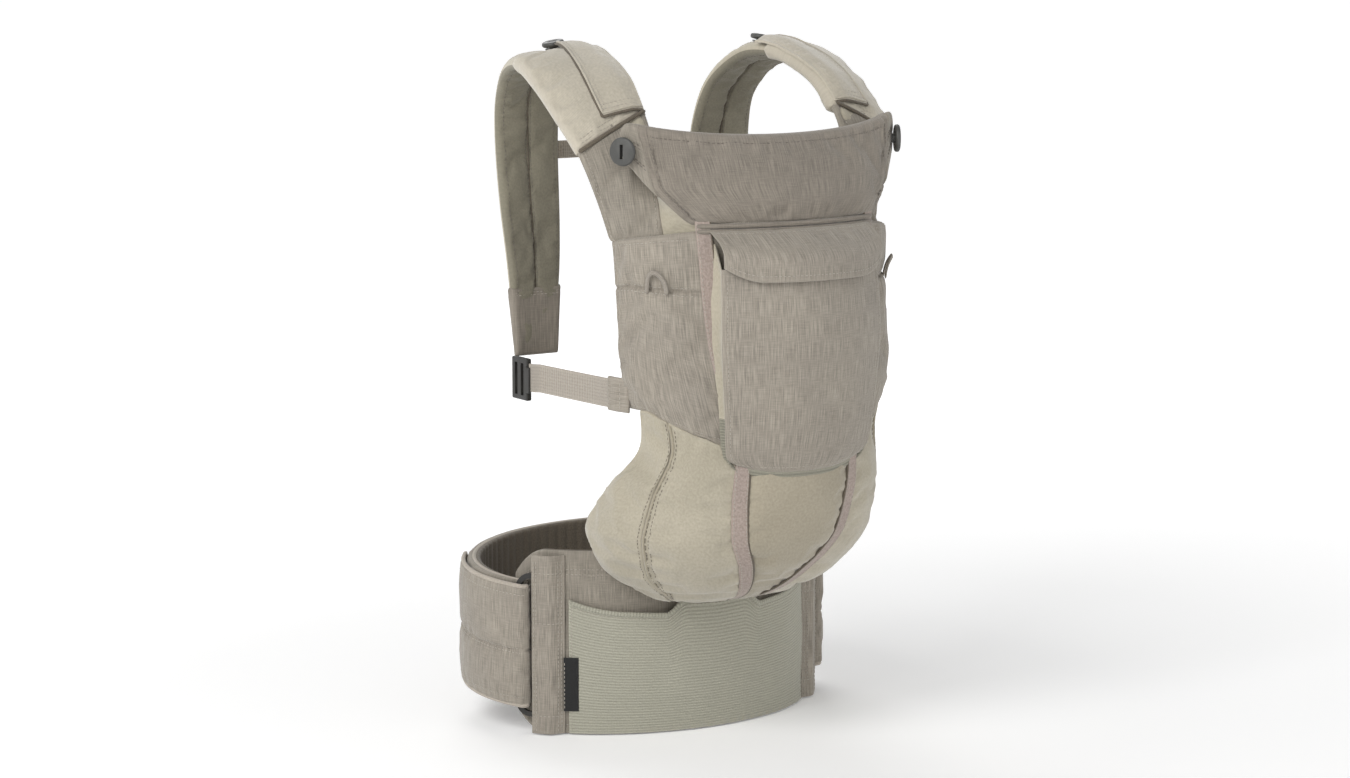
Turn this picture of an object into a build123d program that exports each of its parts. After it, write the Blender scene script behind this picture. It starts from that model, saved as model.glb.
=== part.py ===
from build123d import *
import math
import os

# Soft baby carrier, closed as it is worn, in millimetres.
# The origin is the centre of the waist ring, level with the belt's lowest edge.
# +Z is up and the carrier's outer front faces -Y; the wearer stands inside the ring.
# Angles round the carrier start at the front (-Y) and grow towards +X.

os.makedirs("parts", exist_ok=True)

# Waist belt: half sizes of its ovals and its heights
BELT_HALF_X = 178.0
BELT_HALF_Y = 128.0
BELT_PANEL_HEIGHT = 184.0
BELT_PANEL_ANGLE = 74.0
BELT_PANEL_THICKNESS = 10.0
BELT_END_ANGLE = 60.0
BELT_END_DROP = 26.0
WING_OUT = 11.5
WING_THICKNESS = 12.0
WING_HEIGHT_LOW = 26.0
WING_HEIGHT_HIGH = 152.0
WING_RISE = 0.085
WING_FRONT_OUT = 6.9
WING_FRONT_THICKNESS = 5.0
WING_EASE_ANGLE = 24.0
WING_REAR_LEFT = 186.5
WING_REAR_RIGHT = 172.0
WING_RISE_FRONT = 60.0
FOLDBACK_OUT = 18.8
FOLDBACK_THICKNESS = 5.0
FOLDBACK_ANGLES = (66.0, 122.0)
FOLDBACK_BEND_OUTSIDE = 1.9
FOLDBACK_BEND_INSIDE = 0.6
FOLDBACK_SHARES = (0.02, 0.97)
STRIP_ANGLES = (51.5, 63.0)
STRIP_OUT = 2.4
STRIP_STEP = 9.0
STRIP_STEP_ANGLE = 4.5
BELT_STRIP_THICKNESS = 1.8
LOOP_ANGLE = 63.7
LOOP_OUT = 7.2
LOOP_LEAN = 10.5
LOOP_WIDTH = 32.0
LOOP_BAR = 5.0
LOOP_DEPTH = 4.4
LOOP_OVERHANG = 9.0
BELT_POCKET_ANGLE = 50.0
BELT_POCKET_HEIGHT = 126.0
BELT_POCKET_CORNER = 4.0
BELT_POCKET_OUT = 2.6
BELT_POCKET_BULGE = 9.0
BELT_POCKET_TAB = 17.0
BELT_POCKET_TAB_ANGLE = 15.0
BELT_POCKET_THICKNESS = 2.0

# Pouch: height, depth of the middle, half width and half depth of each cross-section
POUCH = (
    (136.0, -142.0, 58.0, 22.0),
    (142.0, -141.0, 78.0, 48.0),
    (150.0, -140.0, 92.0, 70.0),
    (160.0, -139.0, 108.0, 88.0),
    (174.0, -141.0, 124.0, 103.0),
    (194.0, -148.0, 137.0, 115.0),
    (219.0, -156.0, 146.0, 121.0),
    (256.0, -173.0, 143.0, 114.0),
    (306.0, -200.0, 130.0, 90.0),
    (356.0, -198.0, 142.0, 92.0),
    (406.0, -191.0, 147.0, 94.0),
    (456.0, -188.0, 148.0, 94.0),
    (522.0, -188.0, 148.0, 89.0),
)
# Angle of the sewn strip that bounds the centre panel, by height
STRIP_LINE = (
    (136.0, 8.0),
    (150.0, 11.0),
    (174.0, 15.0),
    (219.0, 23.0),
    (293.0, 28.0),
    (406.0, 35.0),
    (522.0, 39.0),
)
POUCH_LOW = 136.0
BODY_TOP = 522.0
PANEL_GAP = 0.3
STRIP_HALF = 3.7
STRIP_LOW = 137.0
STRIP_GAP = 1.2
STRIP_THICKNESS = 5.0
STRIP_PROUD = 0.8
CENTRE_THICKNESS = 8.0
GORE_THICKNESS = 10.0
GORE_SPLIT = 64.0
# Angle of the side gores' rear edge, by height
GORE_REAR = (
    (136.0, 96.0),
    (160.0, 106.0),
    (219.0, 106.0),
    (256.0, 98.0),
    (306.0, 88.0),
    (345.0, 80.0),
)
SIDE_WING_THICKNESS = 7.0
SIDE_WING_REAR = 94.0
SIDE_WING_TOP = 497.0
SIDE_WING_SLOPE = 10.0
SIDE_WING_WAIST = 5.0
SIDE_WING_GAP = 1.2
SEAT_TOP_FRONT = 304.0
SEAT_TOP_SIDE = 341.0
SEAT_TOP_ANGLES = (30.0, 75.0)
SEAT_SPLIT = SEAT_TOP_FRONT + 16.0

# Headrest cross-sections, in the same terms as the pouch
HEADREST = ((527.0, -188.0, 157.0, 90.0), (560.0, -186.0, 166.0, 82.0), (615.0, -183.0, 176.0, 66.0))
HEADREST_THICKNESS = 13.0
HEADREST_ANGLES = (45.0, 58.0)
HEADREST_LOW = 527.0
HEADREST_TOP = 599.0
HEADREST_END_RISE = 13.0
HEADREST_LOOP_ANGLE = 67.2
HEADREST_LOOP_OUT = -4.5
HEADREST_LOOP_OUTSIDE = (36.0, 24.0)
HEADREST_LOOP_INSIDE = (24.0, 14.0)
HEADREST_LOOP_THICKNESS = 3.0

# Shoulder strap, front to back: outer edge and inner edge of its top face, right side
STRAP = (
    ((152.0, -184.0, 502.0), (121.0, -232.0, 507.0)),
    ((165.0, -180.0, 545.0), (114.0, -214.0, 548.0)),
    ((180.0, -174.0, 586.0), (109.0, -192.0, 602.0)),
    ((184.0, -137.0, 620.0), (108.0, -160.0, 640.0)),
    ((182.0, -94.0, 648.0), (104.0, -122.0, 661.0)),
    ((174.0, -45.0, 664.0), (98.0, -76.0, 673.0)),
    ((163.0, 4.0, 656.0), (90.0, -28.0, 668.0)),
    ((154.0, 36.0, 624.0), (83.0, 22.0, 634.0)),
    ((151.0, 44.0, 580.0), (77.0, 42.0, 580.0)),
    ((150.0, 38.0, 522.0), (78.0, 40.0, 522.0)),
    ((147.0, 31.0, 470.0), (81.0, 34.0, 470.0)),
    ((145.0, 23.0, 420.0), (88.0, 25.0, 420.0)),
    ((143.0, 14.0, 366.0), (94.0, 16.0, 366.0)),
)
STRAP_BASE_END = 2.0
STRAP_COVER_END = 5.0
STRAP_THICKNESS = 14.0
STRAP_END_THICKNESS = 7.0
STRAP_COVER_THICKNESS = 3.0
STRAP_COVER_GAP = 1.6
STRAP_CROWN = 2.5
STRAP_TAPER = 1.5
STRAP_PAD_SHARES = (0.03, 0.97)
STRAP_BASE_GAP = 0.04

# Front pocket: height, front depth and half width
POCKET = (
    (283.0, -297.0, 60.0),
    (296.0, -304.0, 73.0),
    (340.0, -313.0, 84.0),
    (414.0, -319.0, 90.0),
    (478.0, -313.0, 88.0),
)
POCKET_BOW = 31.0
POCKET_BOW_WIDTH = 90.0
POCKET_WALL = 3.0
POCKET_FRONT_GAP = 0.6
POCKET_BACK_GAP = 4.5
FLAP_TOP = 512.0
FLAP_LOW = 462.0
FLAP_THICKNESS = 3.0
FLAP_GAP = 3.5
FLAP_TOP_GAP = 2.4
FLAP_OVERHANG = 1.5
FLAP_CORNER_LIFT = 26.0
FLAP_BEND = 1.55

# Hardware
BUTTON_CENTRE = (154.0, -217.0, 586.0)
BUTTON_TURN = 62.0
BUTTON_RADIUS = 13.5
BUTTON_NECK = 9.0
BUTTON_FOOT = 16.0
BUTTON_HEAD = 5.0
BUTTON_SLOT = (3.5, 20.0)
UPPER_BUTTON_RADIUS = 11.0
UPPER_BUTTON_NECK = 1.8
UPPER_BUTTON_FOOT = 0.8
UPPER_BUTTON_TILT = -78.0
UPPER_BUTTON_CENTRE = (121.0, -30.0, 674.9)
SIDE_LOOP_ANGLE = 60.0
SIDE_LOOP_HEIGHT = 453.0
SIDE_LOOP_OUT = 8.0
SIDE_LOOP_TURN = 42.0
SIDE_LOOP_RADIUS = 11.0
SIDE_LOOP_CORD = 1.8
LOCK_CENTRE = (147.0, -9.0, 347.0)
LOCK_SIZE = (6.0, 30.0, 42.0)
LOCK_SLOT = (20.0, 5.5, 32.0)
LOCK_SLOT_STEP = 6.0
LOCK_LIP = (3.0, 7.0, 26.0)
SIDE_WEBBING_HEIGHT = 30.0
SIDE_WEBBING_THICKNESS = 3.0
SIDE_WEBBING_LEVEL = 353.0
SIDE_WEBBING_FRONT_GAP = 4.0
SIDE_WEBBING_REAR_GAP = 7.5
WAIST_BUCKLE_Y = 152.0
WAIST_BUCKLE_Z = 105.0
WAIST_BUCKLE = (40.0, 14.0, 44.0)
CHEST_BUCKLE_Y = 52.0
CHEST_BUCKLE_Z = 566.0
CHEST_BUCKLE = (26.0, 10.0, 28.0)
BUCKLE_SLOT = 5.0
BUCKLE_WALL = 4.0
WAIST_WEBBING_HALF = 19.0
WAIST_WEBBING_ANGLES = (138.0, 146.0, 154.0)
WAIST_WEBBING_OUT = (4.2, 1.7)
WAIST_WEBBING_HALF_THICK = 1.2
CHEST_SLIDER = (26.0, 5.0, 34.0)
CHEST_SLIDER_X = 112.0
CHEST_SLIDER_SLOT = (16.0, 8.0, 3.5)
CHEST_SLIDER_SLOT_STEP = 11.0
CHEST_WEBBING_END = 98.5
CHEST_WEBBING_THICKNESS = 2.0
CHEST_WEBBING_HEIGHT = 20.0
SIDES = (("left", -1), ("right", 1))


def between(table, height, column):
    """Value of one column of a table at a height, in a straight line between its rows."""
    below = table[0]
    for row in table:
        if row[0] >= height:
            span = row[0] - below[0]
            share = (height - below[0]) / span if span else 0.0
            return below[column] + share * (row[column] - below[column])
        below = row
    return below[column]


def steps(low, high, count):
    """Evenly spaced values from low to high."""
    return [low + (high - low) * index / (count - 1) for index in range(count)]


def eased(share):
    """Share between 0 and 1, limited and with a soft start and end."""
    share = min(1.0, max(0.0, share))
    return share * share * (3.0 - 2.0 * share)


def oval_point(half_x, half_y, angle, height, middle_y=0.0):
    """Point of an upright oval wall; angle 0 is the front."""
    turn = math.radians(angle)
    return Vector(half_x * math.sin(turn), middle_y - half_y * math.cos(turn), height)


def belt_point(angle, height, out):
    """Point on the waist belt's oval, out millimetres outside the front panel's face."""
    return oval_point(BELT_HALF_X + out, BELT_HALF_Y + out, angle, height)


def wall_point(table, angle, height, out):
    """Point on the pouch or headrest, out millimetres outside its face."""
    middle_y = between(table, height, 1)
    half_x = between(table, height, 2) + out
    half_y = between(table, height, 3) + out
    return oval_point(half_x, half_y, angle, height, middle_y)


def slab(outer, inner):
    """Closed solid between two grids of points, with ruled sides."""
    top = Face.make_surface_from_array_of_points(outer)
    bottom = Face.make_surface_from_array_of_points(inner)
    faces = [top, bottom]
    for edge in top.edges():
        middle = edge @ 0.5
        partner = min(bottom.edges(), key=lambda other: ((other @ 0.5) - middle).length)
        faces.append(Face.make_surface_from_curves(edge, partner))
    return Solid(Shell(faces)).fix()


def padded_slab(point, rows, columns, thickness):
    """Slab of even thickness whose face is point(row, column, out)."""
    outer = [[point(row, column, 0.0) for column in columns] for row in rows]
    inner = [[point(row, column, -thickness) for column in columns] for row in rows]
    return slab(outer, inner)


def mirrored(shape, side):
    """The shape for one side, from the one that is drawn on the right."""
    return shape if side > 0 else shape.mirror(Plane.YZ)


def write(shape, node):
    """Save one sub-part as a STEP file named after its node."""
    export_step(shape, "parts/" + node + ".step")


def rounded_box(size_x, size_y, size_z, radius):
    """Box centred on the origin with softened edges."""
    return fillet(Box(size_x, size_y, size_z).edges(), radius)


# Waist belt

def front_panel_layer(depth, thickness):
    """Layer of the wide front panel, lower at its two rounded ends."""
    def face(share, angle, out):
        end = max(0.0, (abs(angle) - BELT_END_ANGLE) / (BELT_PANEL_ANGLE - BELT_END_ANGLE))
        drop = BELT_END_DROP * end * end
        height = drop + share * (BELT_PANEL_HEIGHT - 2.0 * drop)
        return belt_point(angle, height, out - depth)
    angles = steps(-BELT_PANEL_ANGLE, BELT_PANEL_ANGLE, 15)
    return padded_slab(face, steps(0.0, 1.0, 5), angles, thickness)


def wing_layer(rear_angle, share_out, share_in):
    """Layer of a belt wing between two shares of its depth, from the loop to the back."""
    front_angle = FOLDBACK_ANGLES[0] + 0.4
    angles = [front_angle, 70.0, 74.0, 80.0] + steps(90.0, rear_angle, 9)

    def spot(angle, share, depth_share):
        ease = eased((angle - front_angle) / WING_EASE_ANGLE)
        out = WING_FRONT_OUT + ease * (WING_OUT - WING_FRONT_OUT)
        thickness = WING_FRONT_THICKNESS + ease * (WING_THICKNESS - WING_FRONT_THICKNESS)
        return belt_point(angle, wing_level(angle, share), out - depth_share * thickness)

    shares = steps(0.0, 1.0, 5)
    outer = [[spot(angle, share, share_out) for angle in angles] for share in shares]
    inner = [[spot(angle, share, share_in) for angle in angles] for share in shares]
    return slab(outer, inner)


def wing_level(angle, share):
    """Height on a wing at an angle, share 0 at its low edge and 1 at its top edge."""
    rise = WING_RISE * (belt_point(angle, 0.0, 0.0).Y + WING_RISE_FRONT)
    return WING_HEIGHT_LOW + rise + share * (WING_HEIGHT_HIGH - WING_HEIGHT_LOW)


def foldback():
    """Wing strap folded back outside the loop, with the bend that passes through the loop."""
    first, last = FOLDBACK_ANGLES
    low_share, high_share = FOLDBACK_SHARES
    straight_steps = 7
    bend_steps = 7
    bend_low = WING_FRONT_OUT - WING_FRONT_THICKNESS
    bend_middle = (FOLDBACK_OUT + bend_low) / 2.0

    def route(index, depth, bend):
        """Angle and outward offset along the strap, from its sewn end round the bend."""
        if index <= straight_steps:
            return last + (first - last) * index / straight_steps, FOLDBACK_OUT - depth
        turn = math.pi * (index - straight_steps) / bend_steps
        reach = FOLDBACK_OUT - depth - bend_middle
        return first - bend * math.sin(turn), bend_middle + reach * math.cos(turn)

    def grid(depth, bend):
        rows = []
        for share in steps(low_share, high_share, 4):
            line = []
            for index in range(straight_steps + bend_steps + 1):
                angle, out = route(index, depth, bend)
                line.append(belt_point(angle, wing_level(angle, share), out))
            rows.append(line)
        return rows

    return slab(grid(0.0, FOLDBACK_BEND_OUTSIDE), grid(FOLDBACK_THICKNESS, FOLDBACK_BEND_INSIDE))


def belt_loop():
    """Tall plastic ring that the wing strap turns round."""
    low = wing_level(LOOP_ANGLE, 0.0) - LOOP_OVERHANG
    high = wing_level(LOOP_ANGLE, 1.0) + LOOP_OVERHANG
    tall = high - low
    ring = Box(LOOP_DEPTH, LOOP_WIDTH, tall)
    ring = fillet(ring.edges().filter_by(Axis.X), LOOP_WIDTH / 2.0 - 1.0)
    hole = Box(2.0 * LOOP_BAR, LOOP_WIDTH - 2.0 * LOOP_BAR, tall - 2.0 * LOOP_BAR)
    ring -= fillet(hole.edges().filter_by(Axis.X), LOOP_WIDTH / 2.0 - LOOP_BAR - 1.0)
    spot = belt_point(LOOP_ANGLE, (low + high) / 2.0, LOOP_OUT)
    ahead = belt_point(LOOP_ANGLE + 1.0, 0.0, 0.0) - belt_point(LOOP_ANGLE - 1.0, 0.0, 0.0)
    lean = math.degrees(math.atan2(ahead.Y, ahead.X)) - 90.0
    return Location(spot, (0.0, 0.0, lean - LOOP_LEAN)) * ring


def belt_strip():
    """Upright webbing that wraps the plastic loop's front bar, sewn to the front panel."""
    def face(height, angle, depth):
        out = STRIP_OUT + STRIP_STEP * eased((angle - STRIP_ANGLES[0]) / STRIP_STEP_ANGLE)
        return belt_point(angle, height, out + depth)
    heights = steps(1.0, BELT_PANEL_HEIGHT - 4.0, 3)
    return padded_slab(face, heights, steps(*STRIP_ANGLES, 9), BELT_STRIP_THICKNESS)


def belt_pocket():
    """Stretch-mesh pocket across the front panel, open at the top, with a raised tab."""
    def face(share, angle, out):
        across = math.cos(math.radians(angle * 90.0 / BELT_POCKET_ANGLE))
        base = min(1.0, 0.25 + 2.4 * share)
        tab = BELT_POCKET_TAB * max(0.0, 1.0 - abs(angle) / BELT_POCKET_TAB_ANGLE) * share ** 3
        corner = BELT_POCKET_CORNER * abs(angle) / BELT_POCKET_ANGLE
        height = 1.0 + share * (BELT_POCKET_HEIGHT + corner) + tab
        return belt_point(angle, height, BELT_POCKET_OUT + BELT_POCKET_BULGE * across * base + out)
    angles = steps(-BELT_POCKET_ANGLE, BELT_POCKET_ANGLE, 13)
    return padded_slab(face, steps(0.0, 1.0, 6), angles, BELT_POCKET_THICKNESS)


def build_belt():
    """Front panel, its strips and pocket, the wings, the loops and the folded straps."""
    half = BELT_PANEL_THICKNESS / 2.0
    write(front_panel_layer(0.0, half), "belt_front_panel")
    write(front_panel_layer(half, half), "belt_front_lining")
    write(belt_pocket(), "belt_pocket")
    strip = belt_strip()
    fold = foldback()
    loop = belt_loop()
    for name, side in SIDES:
        rear_angle = WING_REAR_LEFT if side < 0 else WING_REAR_RIGHT
        write(mirrored(wing_layer(rear_angle, 0.0, 0.5), side), "belt_wing_shell_" + name)
        write(mirrored(wing_layer(rear_angle, 0.5, 1.0), side), "belt_wing_lining_" + name)
        write(mirrored(strip, side), "belt_strip_" + name)
        write(mirrored(fold, side), "belt_foldback_" + name)
        write(mirrored(loop, side), "belt_loop_" + name)


# Pouch

def seat_top(angle):
    """Height where the seat's fabric meets the side wing."""
    first, last = SEAT_TOP_ANGLES
    share = min(1.0, max(0.0, (abs(angle) - first) / (last - first)))
    return SEAT_TOP_FRONT + share * (SEAT_TOP_SIDE - SEAT_TOP_FRONT)


def pouch_panel(left, right, low, high, thickness, out=0.0, rows=11, columns=7):
    """Panel of the pouch; left and right depend on the height, high on the angle."""
    def face(share_up, share_across, depth):
        guess = low + share_up * (high(left(low)) - low)
        middle = left(guess) + share_across * (right(guess) - left(guess))
        height = low + share_up * (high(middle) - low)
        angle = left(height) + share_across * (right(height) - left(height))
        return wall_point(POUCH, angle, height, out + depth)
    return padded_slab(face, steps(0.0, 1.0, rows), steps(0.0, 1.0, columns), thickness)


def strip_line(height):
    """Angle of the sewn strip at a height."""
    return between(STRIP_LINE, height, 1)


def build_pouch():
    """Seat panel, four gores, back panel, strips, side wings and their elastic loops."""
    def inside(height):
        return strip_line(height) - STRIP_HALF - STRIP_GAP

    def outside(height):
        return strip_line(height) + STRIP_HALF + STRIP_GAP

    seat = pouch_panel(
        lambda z: -inside(z), inside, POUCH_LOW, lambda a: SEAT_SPLIT - PANEL_GAP, CENTRE_THICKNESS,
    )
    write(seat, "seat_centre_panel")
    back = pouch_panel(lambda z: -inside(z), inside, SEAT_SPLIT, lambda a: BODY_TOP, CENTRE_THICKNESS)
    write(back, "body_back_panel")

    strip = pouch_panel(
        lambda z: strip_line(z) - STRIP_HALF, lambda z: strip_line(z) + STRIP_HALF,
        STRIP_LOW, lambda a: BODY_TOP, STRIP_THICKNESS, STRIP_PROUD, rows=22, columns=3,
    )
    front_gore = pouch_panel(
        outside, lambda z: GORE_SPLIT - PANEL_GAP,
        POUCH_LOW, lambda a: seat_top(a) - PANEL_GAP, GORE_THICKNESS,
    )
    side_gore = pouch_panel(
        lambda z: GORE_SPLIT + PANEL_GAP, lambda z: between(GORE_REAR, z, 1),
        POUCH_LOW, lambda a: seat_top(a) - PANEL_GAP, GORE_THICKNESS,
    )

    def wing_face(share_up, share_across, depth):
        angle_low = outside(SEAT_TOP_FRONT)
        angle_guess = angle_low + share_across * (SIDE_WING_REAR - angle_low)
        low = seat_top(angle_guess) + SIDE_WING_GAP
        top = SIDE_WING_TOP + SIDE_WING_SLOPE * (1.0 - share_across)
        height = low + share_up * (top - low)
        waist = SIDE_WING_WAIST * math.sin(math.pi * share_up) * share_across
        angle = outside(height) + share_across * (SIDE_WING_REAR - waist - outside(height))
        return wall_point(POUCH, angle, height, depth)

    wing = padded_slab(wing_face, steps(0.0, 1.0, 7), steps(0.0, 1.0, 7), SIDE_WING_THICKNESS)
    loop = side_loop()
    for name, side in SIDES:
        write(mirrored(strip, side), "body_strip_" + name)
        write(mirrored(front_gore, side), "seat_front_gore_" + name)
        write(mirrored(side_gore, side), "seat_side_gore_" + name)
        write(mirrored(wing, side), "side_wing_" + name)
        write(mirrored(loop, side), "side_loop_" + name)


def side_loop():
    """Small elastic loop that stands out from the side wing's seam."""
    ring = Torus(SIDE_LOOP_RADIUS, SIDE_LOOP_CORD)
    spot = wall_point(POUCH, SIDE_LOOP_ANGLE, SIDE_LOOP_HEIGHT, SIDE_LOOP_OUT)
    upright = Location((0.0, 0.0, 0.0), (90.0, 0.0, 0.0)) * ring
    turned = Location((0.0, 0.0, 0.0), (0.0, 0.0, SIDE_LOOP_TURN)) * upright
    return Location(spot) * turned


# Front pocket

def pocket_point(height, share, out):
    """Point on the pocket's front; share runs from -1 at the left edge to 1 at the right."""
    half = between(POCKET, height, 2) + out
    across = share * half
    bow = POCKET_BOW * (across / POCKET_BOW_WIDTH) ** 2
    return Vector(across, between(POCKET, height, 1) + bow - out, height)


def pouch_depth(across, height, out):
    """Depth of the pouch's face at a distance from the middle."""
    half_x = between(POUCH, height, 2) + out
    drop = math.sqrt(1.0 - (across / half_x) ** 2)
    return between(POUCH, height, 1) - (between(POUCH, height, 3) + out) * drop


def pocket_front():
    """Front wall of the bellows pocket."""
    def face(height, share, out):
        return pocket_point(height, share, 0.0) + Vector(0.0, -out, 0.0)
    heights = [row[0] for row in POCKET]
    return padded_slab(face, heights, steps(-1.0, 1.0, 9), POCKET_WALL)


def pocket_gusset():
    """Side gusset of the pocket, from the front wall's edge back to the pouch."""
    def face(height, share, out):
        edge = between(POCKET, height, 2) + out
        front = between(POCKET, height, 1) + POCKET_BOW * (edge / POCKET_BOW_WIDTH) ** 2
        front += POCKET_WALL + POCKET_FRONT_GAP
        rear = pouch_depth(edge, height, POCKET_BACK_GAP)
        return Vector(edge, front + share * (rear - front), height)
    heights = steps(POCKET[1][0], POCKET[-1][0], 9)
    return padded_slab(face, heights, steps(0.0, 1.0, 3), POCKET_WALL)


def pocket_flap():
    """Flap over the pocket's mouth, sewn along its upper edge."""
    half = between(POCKET, POCKET[-1][0], 2) + FLAP_OVERHANG

    def face(share_down, share, out):
        across = share * half
        corner = FLAP_CORNER_LIFT * max(0.0, abs(share) - 0.6) ** 2
        height = FLAP_TOP - share_down * (FLAP_TOP - FLAP_LOW - corner)
        bow = POCKET_BOW * (across / POCKET_BOW_WIDTH) ** 2
        lower = between(POCKET, FLAP_LOW, 1) + bow - FLAP_GAP - FLAP_THICKNESS
        upper = pouch_depth(across, FLAP_TOP, FLAP_TOP_GAP + FLAP_THICKNESS)
        ease = math.sin(min(1.0, share_down * FLAP_BEND) * math.pi / 2.0)
        return Vector(across, upper + ease * (lower - upper) - out, height)

    return padded_slab(face, steps(0.0, 1.0, 9), steps(-1.0, 1.0, 9), FLAP_THICKNESS)


def build_pocket():
    """Front wall, side gussets and flap of the bellows pocket."""
    write(pocket_front(), "pocket_front")
    write(pocket_flap(), "pocket_flap")
    gusset = pocket_gusset()
    for name, side in SIDES:
        write(mirrored(gusset, side), "pocket_gusset_" + name)


# Headrest

def headrest():
    """Padded collar that rises above the body and curls round to the straps."""
    first, last = HEADREST_ANGLES

    def face(share_up, share_across, depth):
        widest = first + (last - first) * min(1.0, share_up * 1.25) ** 0.8
        angle = share_across * widest
        top = HEADREST_TOP + HEADREST_END_RISE * share_across ** 2
        height = HEADREST_LOW + share_up * (top - HEADREST_LOW)
        return wall_point(HEADREST, angle, height, depth)

    return padded_slab(face, steps(0.0, 1.0, 6), steps(-1.0, 1.0, 13), HEADREST_THICKNESS)


def headrest_loop():
    """Elastic loop from the headrest's end round a button's neck; drawn on the right."""
    def rounded(thickness, width, height, corner):
        return fillet(Box(thickness, width, height).edges().filter_by(Axis.X), height / 2.0 - corner)
    hole = rounded(2.0 * HEADREST_LOOP_THICKNESS, *HEADREST_LOOP_INSIDE, 0.6)
    loop = rounded(HEADREST_LOOP_THICKNESS, *HEADREST_LOOP_OUTSIDE, 0.5) - hole
    turned = Location((0.0, 0.0, 0.0), (0.0, 0.0, BUTTON_TURN - 90.0)) * loop
    spot = wall_point(HEADREST, HEADREST_LOOP_ANGLE, BUTTON_CENTRE[2], HEADREST_LOOP_OUT)
    return Location(spot) * turned


def mushroom_button(radius, neck, foot_height):
    """Slotted round button; its face looks along +X, with its underside at the origin."""
    neck_radius, foot_radius, joined = 4.5, 8.5, 0.6
    head = Cylinder(radius, BUTTON_HEAD)
    head = fillet(head.edges(), 2.2)
    head -= Box(radius, *BUTTON_SLOT)
    head = Location((0.0, 0.0, BUTTON_HEAD / 2.0)) * head
    stalk = Location((0.0, 0.0, -neck / 2.0)) * Cylinder(neck_radius, neck + joined)
    foot = Location((0.0, 0.0, -neck - foot_height / 2.0)) * Cylinder(foot_radius, foot_height)
    return Location((0.0, 0.0, 0.0), (0.0, 90.0, 0.0)) * (head + stalk + foot)


def build_headrest():
    """Headrest, its elastic loops and the two pairs of buttons."""
    write(headrest(), "headrest")
    loop = headrest_loop()
    button = mushroom_button(BUTTON_RADIUS, BUTTON_NECK, BUTTON_FOOT)
    side_button = Location(BUTTON_CENTRE, (0.0, 0.0, BUTTON_TURN - 90.0)) * button
    upper = mushroom_button(UPPER_BUTTON_RADIUS, UPPER_BUTTON_NECK, UPPER_BUTTON_FOOT)
    upper_button = Location(UPPER_BUTTON_CENTRE, (0.0, UPPER_BUTTON_TILT, 0.0)) * upper
    for name, side in SIDES:
        write(mirrored(loop, side), "headrest_loop_" + name)
        write(mirrored(side_button, side), "headrest_button_" + name)
        write(mirrored(upper_button, side), "upper_button_" + name)


# Shoulder straps

def strap_edge(place, edge):
    """Smooth point along one edge of the strap's top face; edge 0 is the outer one."""
    last = len(STRAP) - 1
    index = min(int(place), last - 1)
    share = place - index
    spots = [Vector(*STRAP[min(last, max(0, index + step))][edge]) for step in (-1, 0, 1, 2)]
    before, start, end, after = spots
    leave = (end - before) * 0.5
    arrive = (after - start) * 0.5
    cube = share ** 3
    square = share ** 2
    point = start * (2.0 * cube - 3.0 * square + 1.0) + end * (3.0 * square - 2.0 * cube)
    return point + leave * (cube - 2.0 * square + share) + arrive * (cube - square)


def strap_point(place, share, out):
    """Point on a strap: share 0 at its outer edge, 1 at its inner edge; out is outwards."""
    last = len(STRAP) - 1
    outer = strap_edge(place, 0)
    inner = strap_edge(place, 1)
    after = min(place + 0.25, last)
    before = max(place - 0.25, 0.0)
    along = strap_edge(after, 0) + strap_edge(after, 1) - strap_edge(before, 0) - strap_edge(before, 1)
    normal = along.cross(inner - outer).normalized()
    crown = STRAP_CROWN * (1.0 - (2.0 * share - 1.0) ** 2)
    return outer + (inner - outer) * share + normal * (out + crown)


def strap_slab(first, last, low, high, thickness, out=0.0):
    """Length of strap between two places, with a thickness that depends on the place."""
    shares = steps(low, high, 5)
    places = steps(first, last, int(round(2 * (last - first))) + 1)
    outer = [[strap_point(place, share, out) for share in shares] for place in places]
    inner = [[strap_point(place, share, out - thickness(place)) for share in shares] for place in places]
    return slab(outer, inner)


def strap_depth(place):
    """Thickness of the padded strap, which thins towards its two ends."""
    last = len(STRAP) - 1
    front = min(1.0, (place - STRAP_BASE_END) / STRAP_TAPER)
    rear = min(1.0, (last - place) / STRAP_TAPER)
    ease = min(front, rear)
    return STRAP_END_THICKNESS + ease * (STRAP_THICKNESS - STRAP_END_THICKNESS)


def build_straps():
    """Sewn base, padded strap and wrapped cover of each shoulder strap."""
    last = len(STRAP) - 1
    base_end = STRAP_BASE_END - STRAP_BASE_GAP
    base = strap_slab(0.0, base_end, 0.0, 1.0, lambda place: STRAP_END_THICKNESS)
    pad = strap_slab(STRAP_BASE_END, last, *STRAP_PAD_SHARES, strap_depth)
    cover = strap_slab(
        STRAP_BASE_END, STRAP_COVER_END, 0.0, 1.0,
        lambda place: STRAP_COVER_THICKNESS, STRAP_COVER_THICKNESS + STRAP_COVER_GAP,
    )
    for name, side in SIDES:
        write(mirrored(base, side), "strap_base_" + name)
        write(mirrored(pad, side), "shoulder_strap_" + name)
        write(mirrored(cover, side), "strap_cover_" + name)


def ladder_lock():
    """Three-bar plastic buckle at the end of a shoulder strap; drawn on the right."""
    body = rounded_box(*LOCK_SIZE, 1.6)
    slot = Box(*LOCK_SLOT)
    for offset in (-LOCK_SLOT_STEP, LOCK_SLOT_STEP):
        body -= Location((0.0, offset, 0.0)) * slot
    lip = Location((2.5, -LOCK_SIZE[1] / 2.0 - 2.0, 0.0)) * rounded_box(*LOCK_LIP, 1.2)
    return Location(LOCK_CENTRE) * (body + lip)


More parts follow.
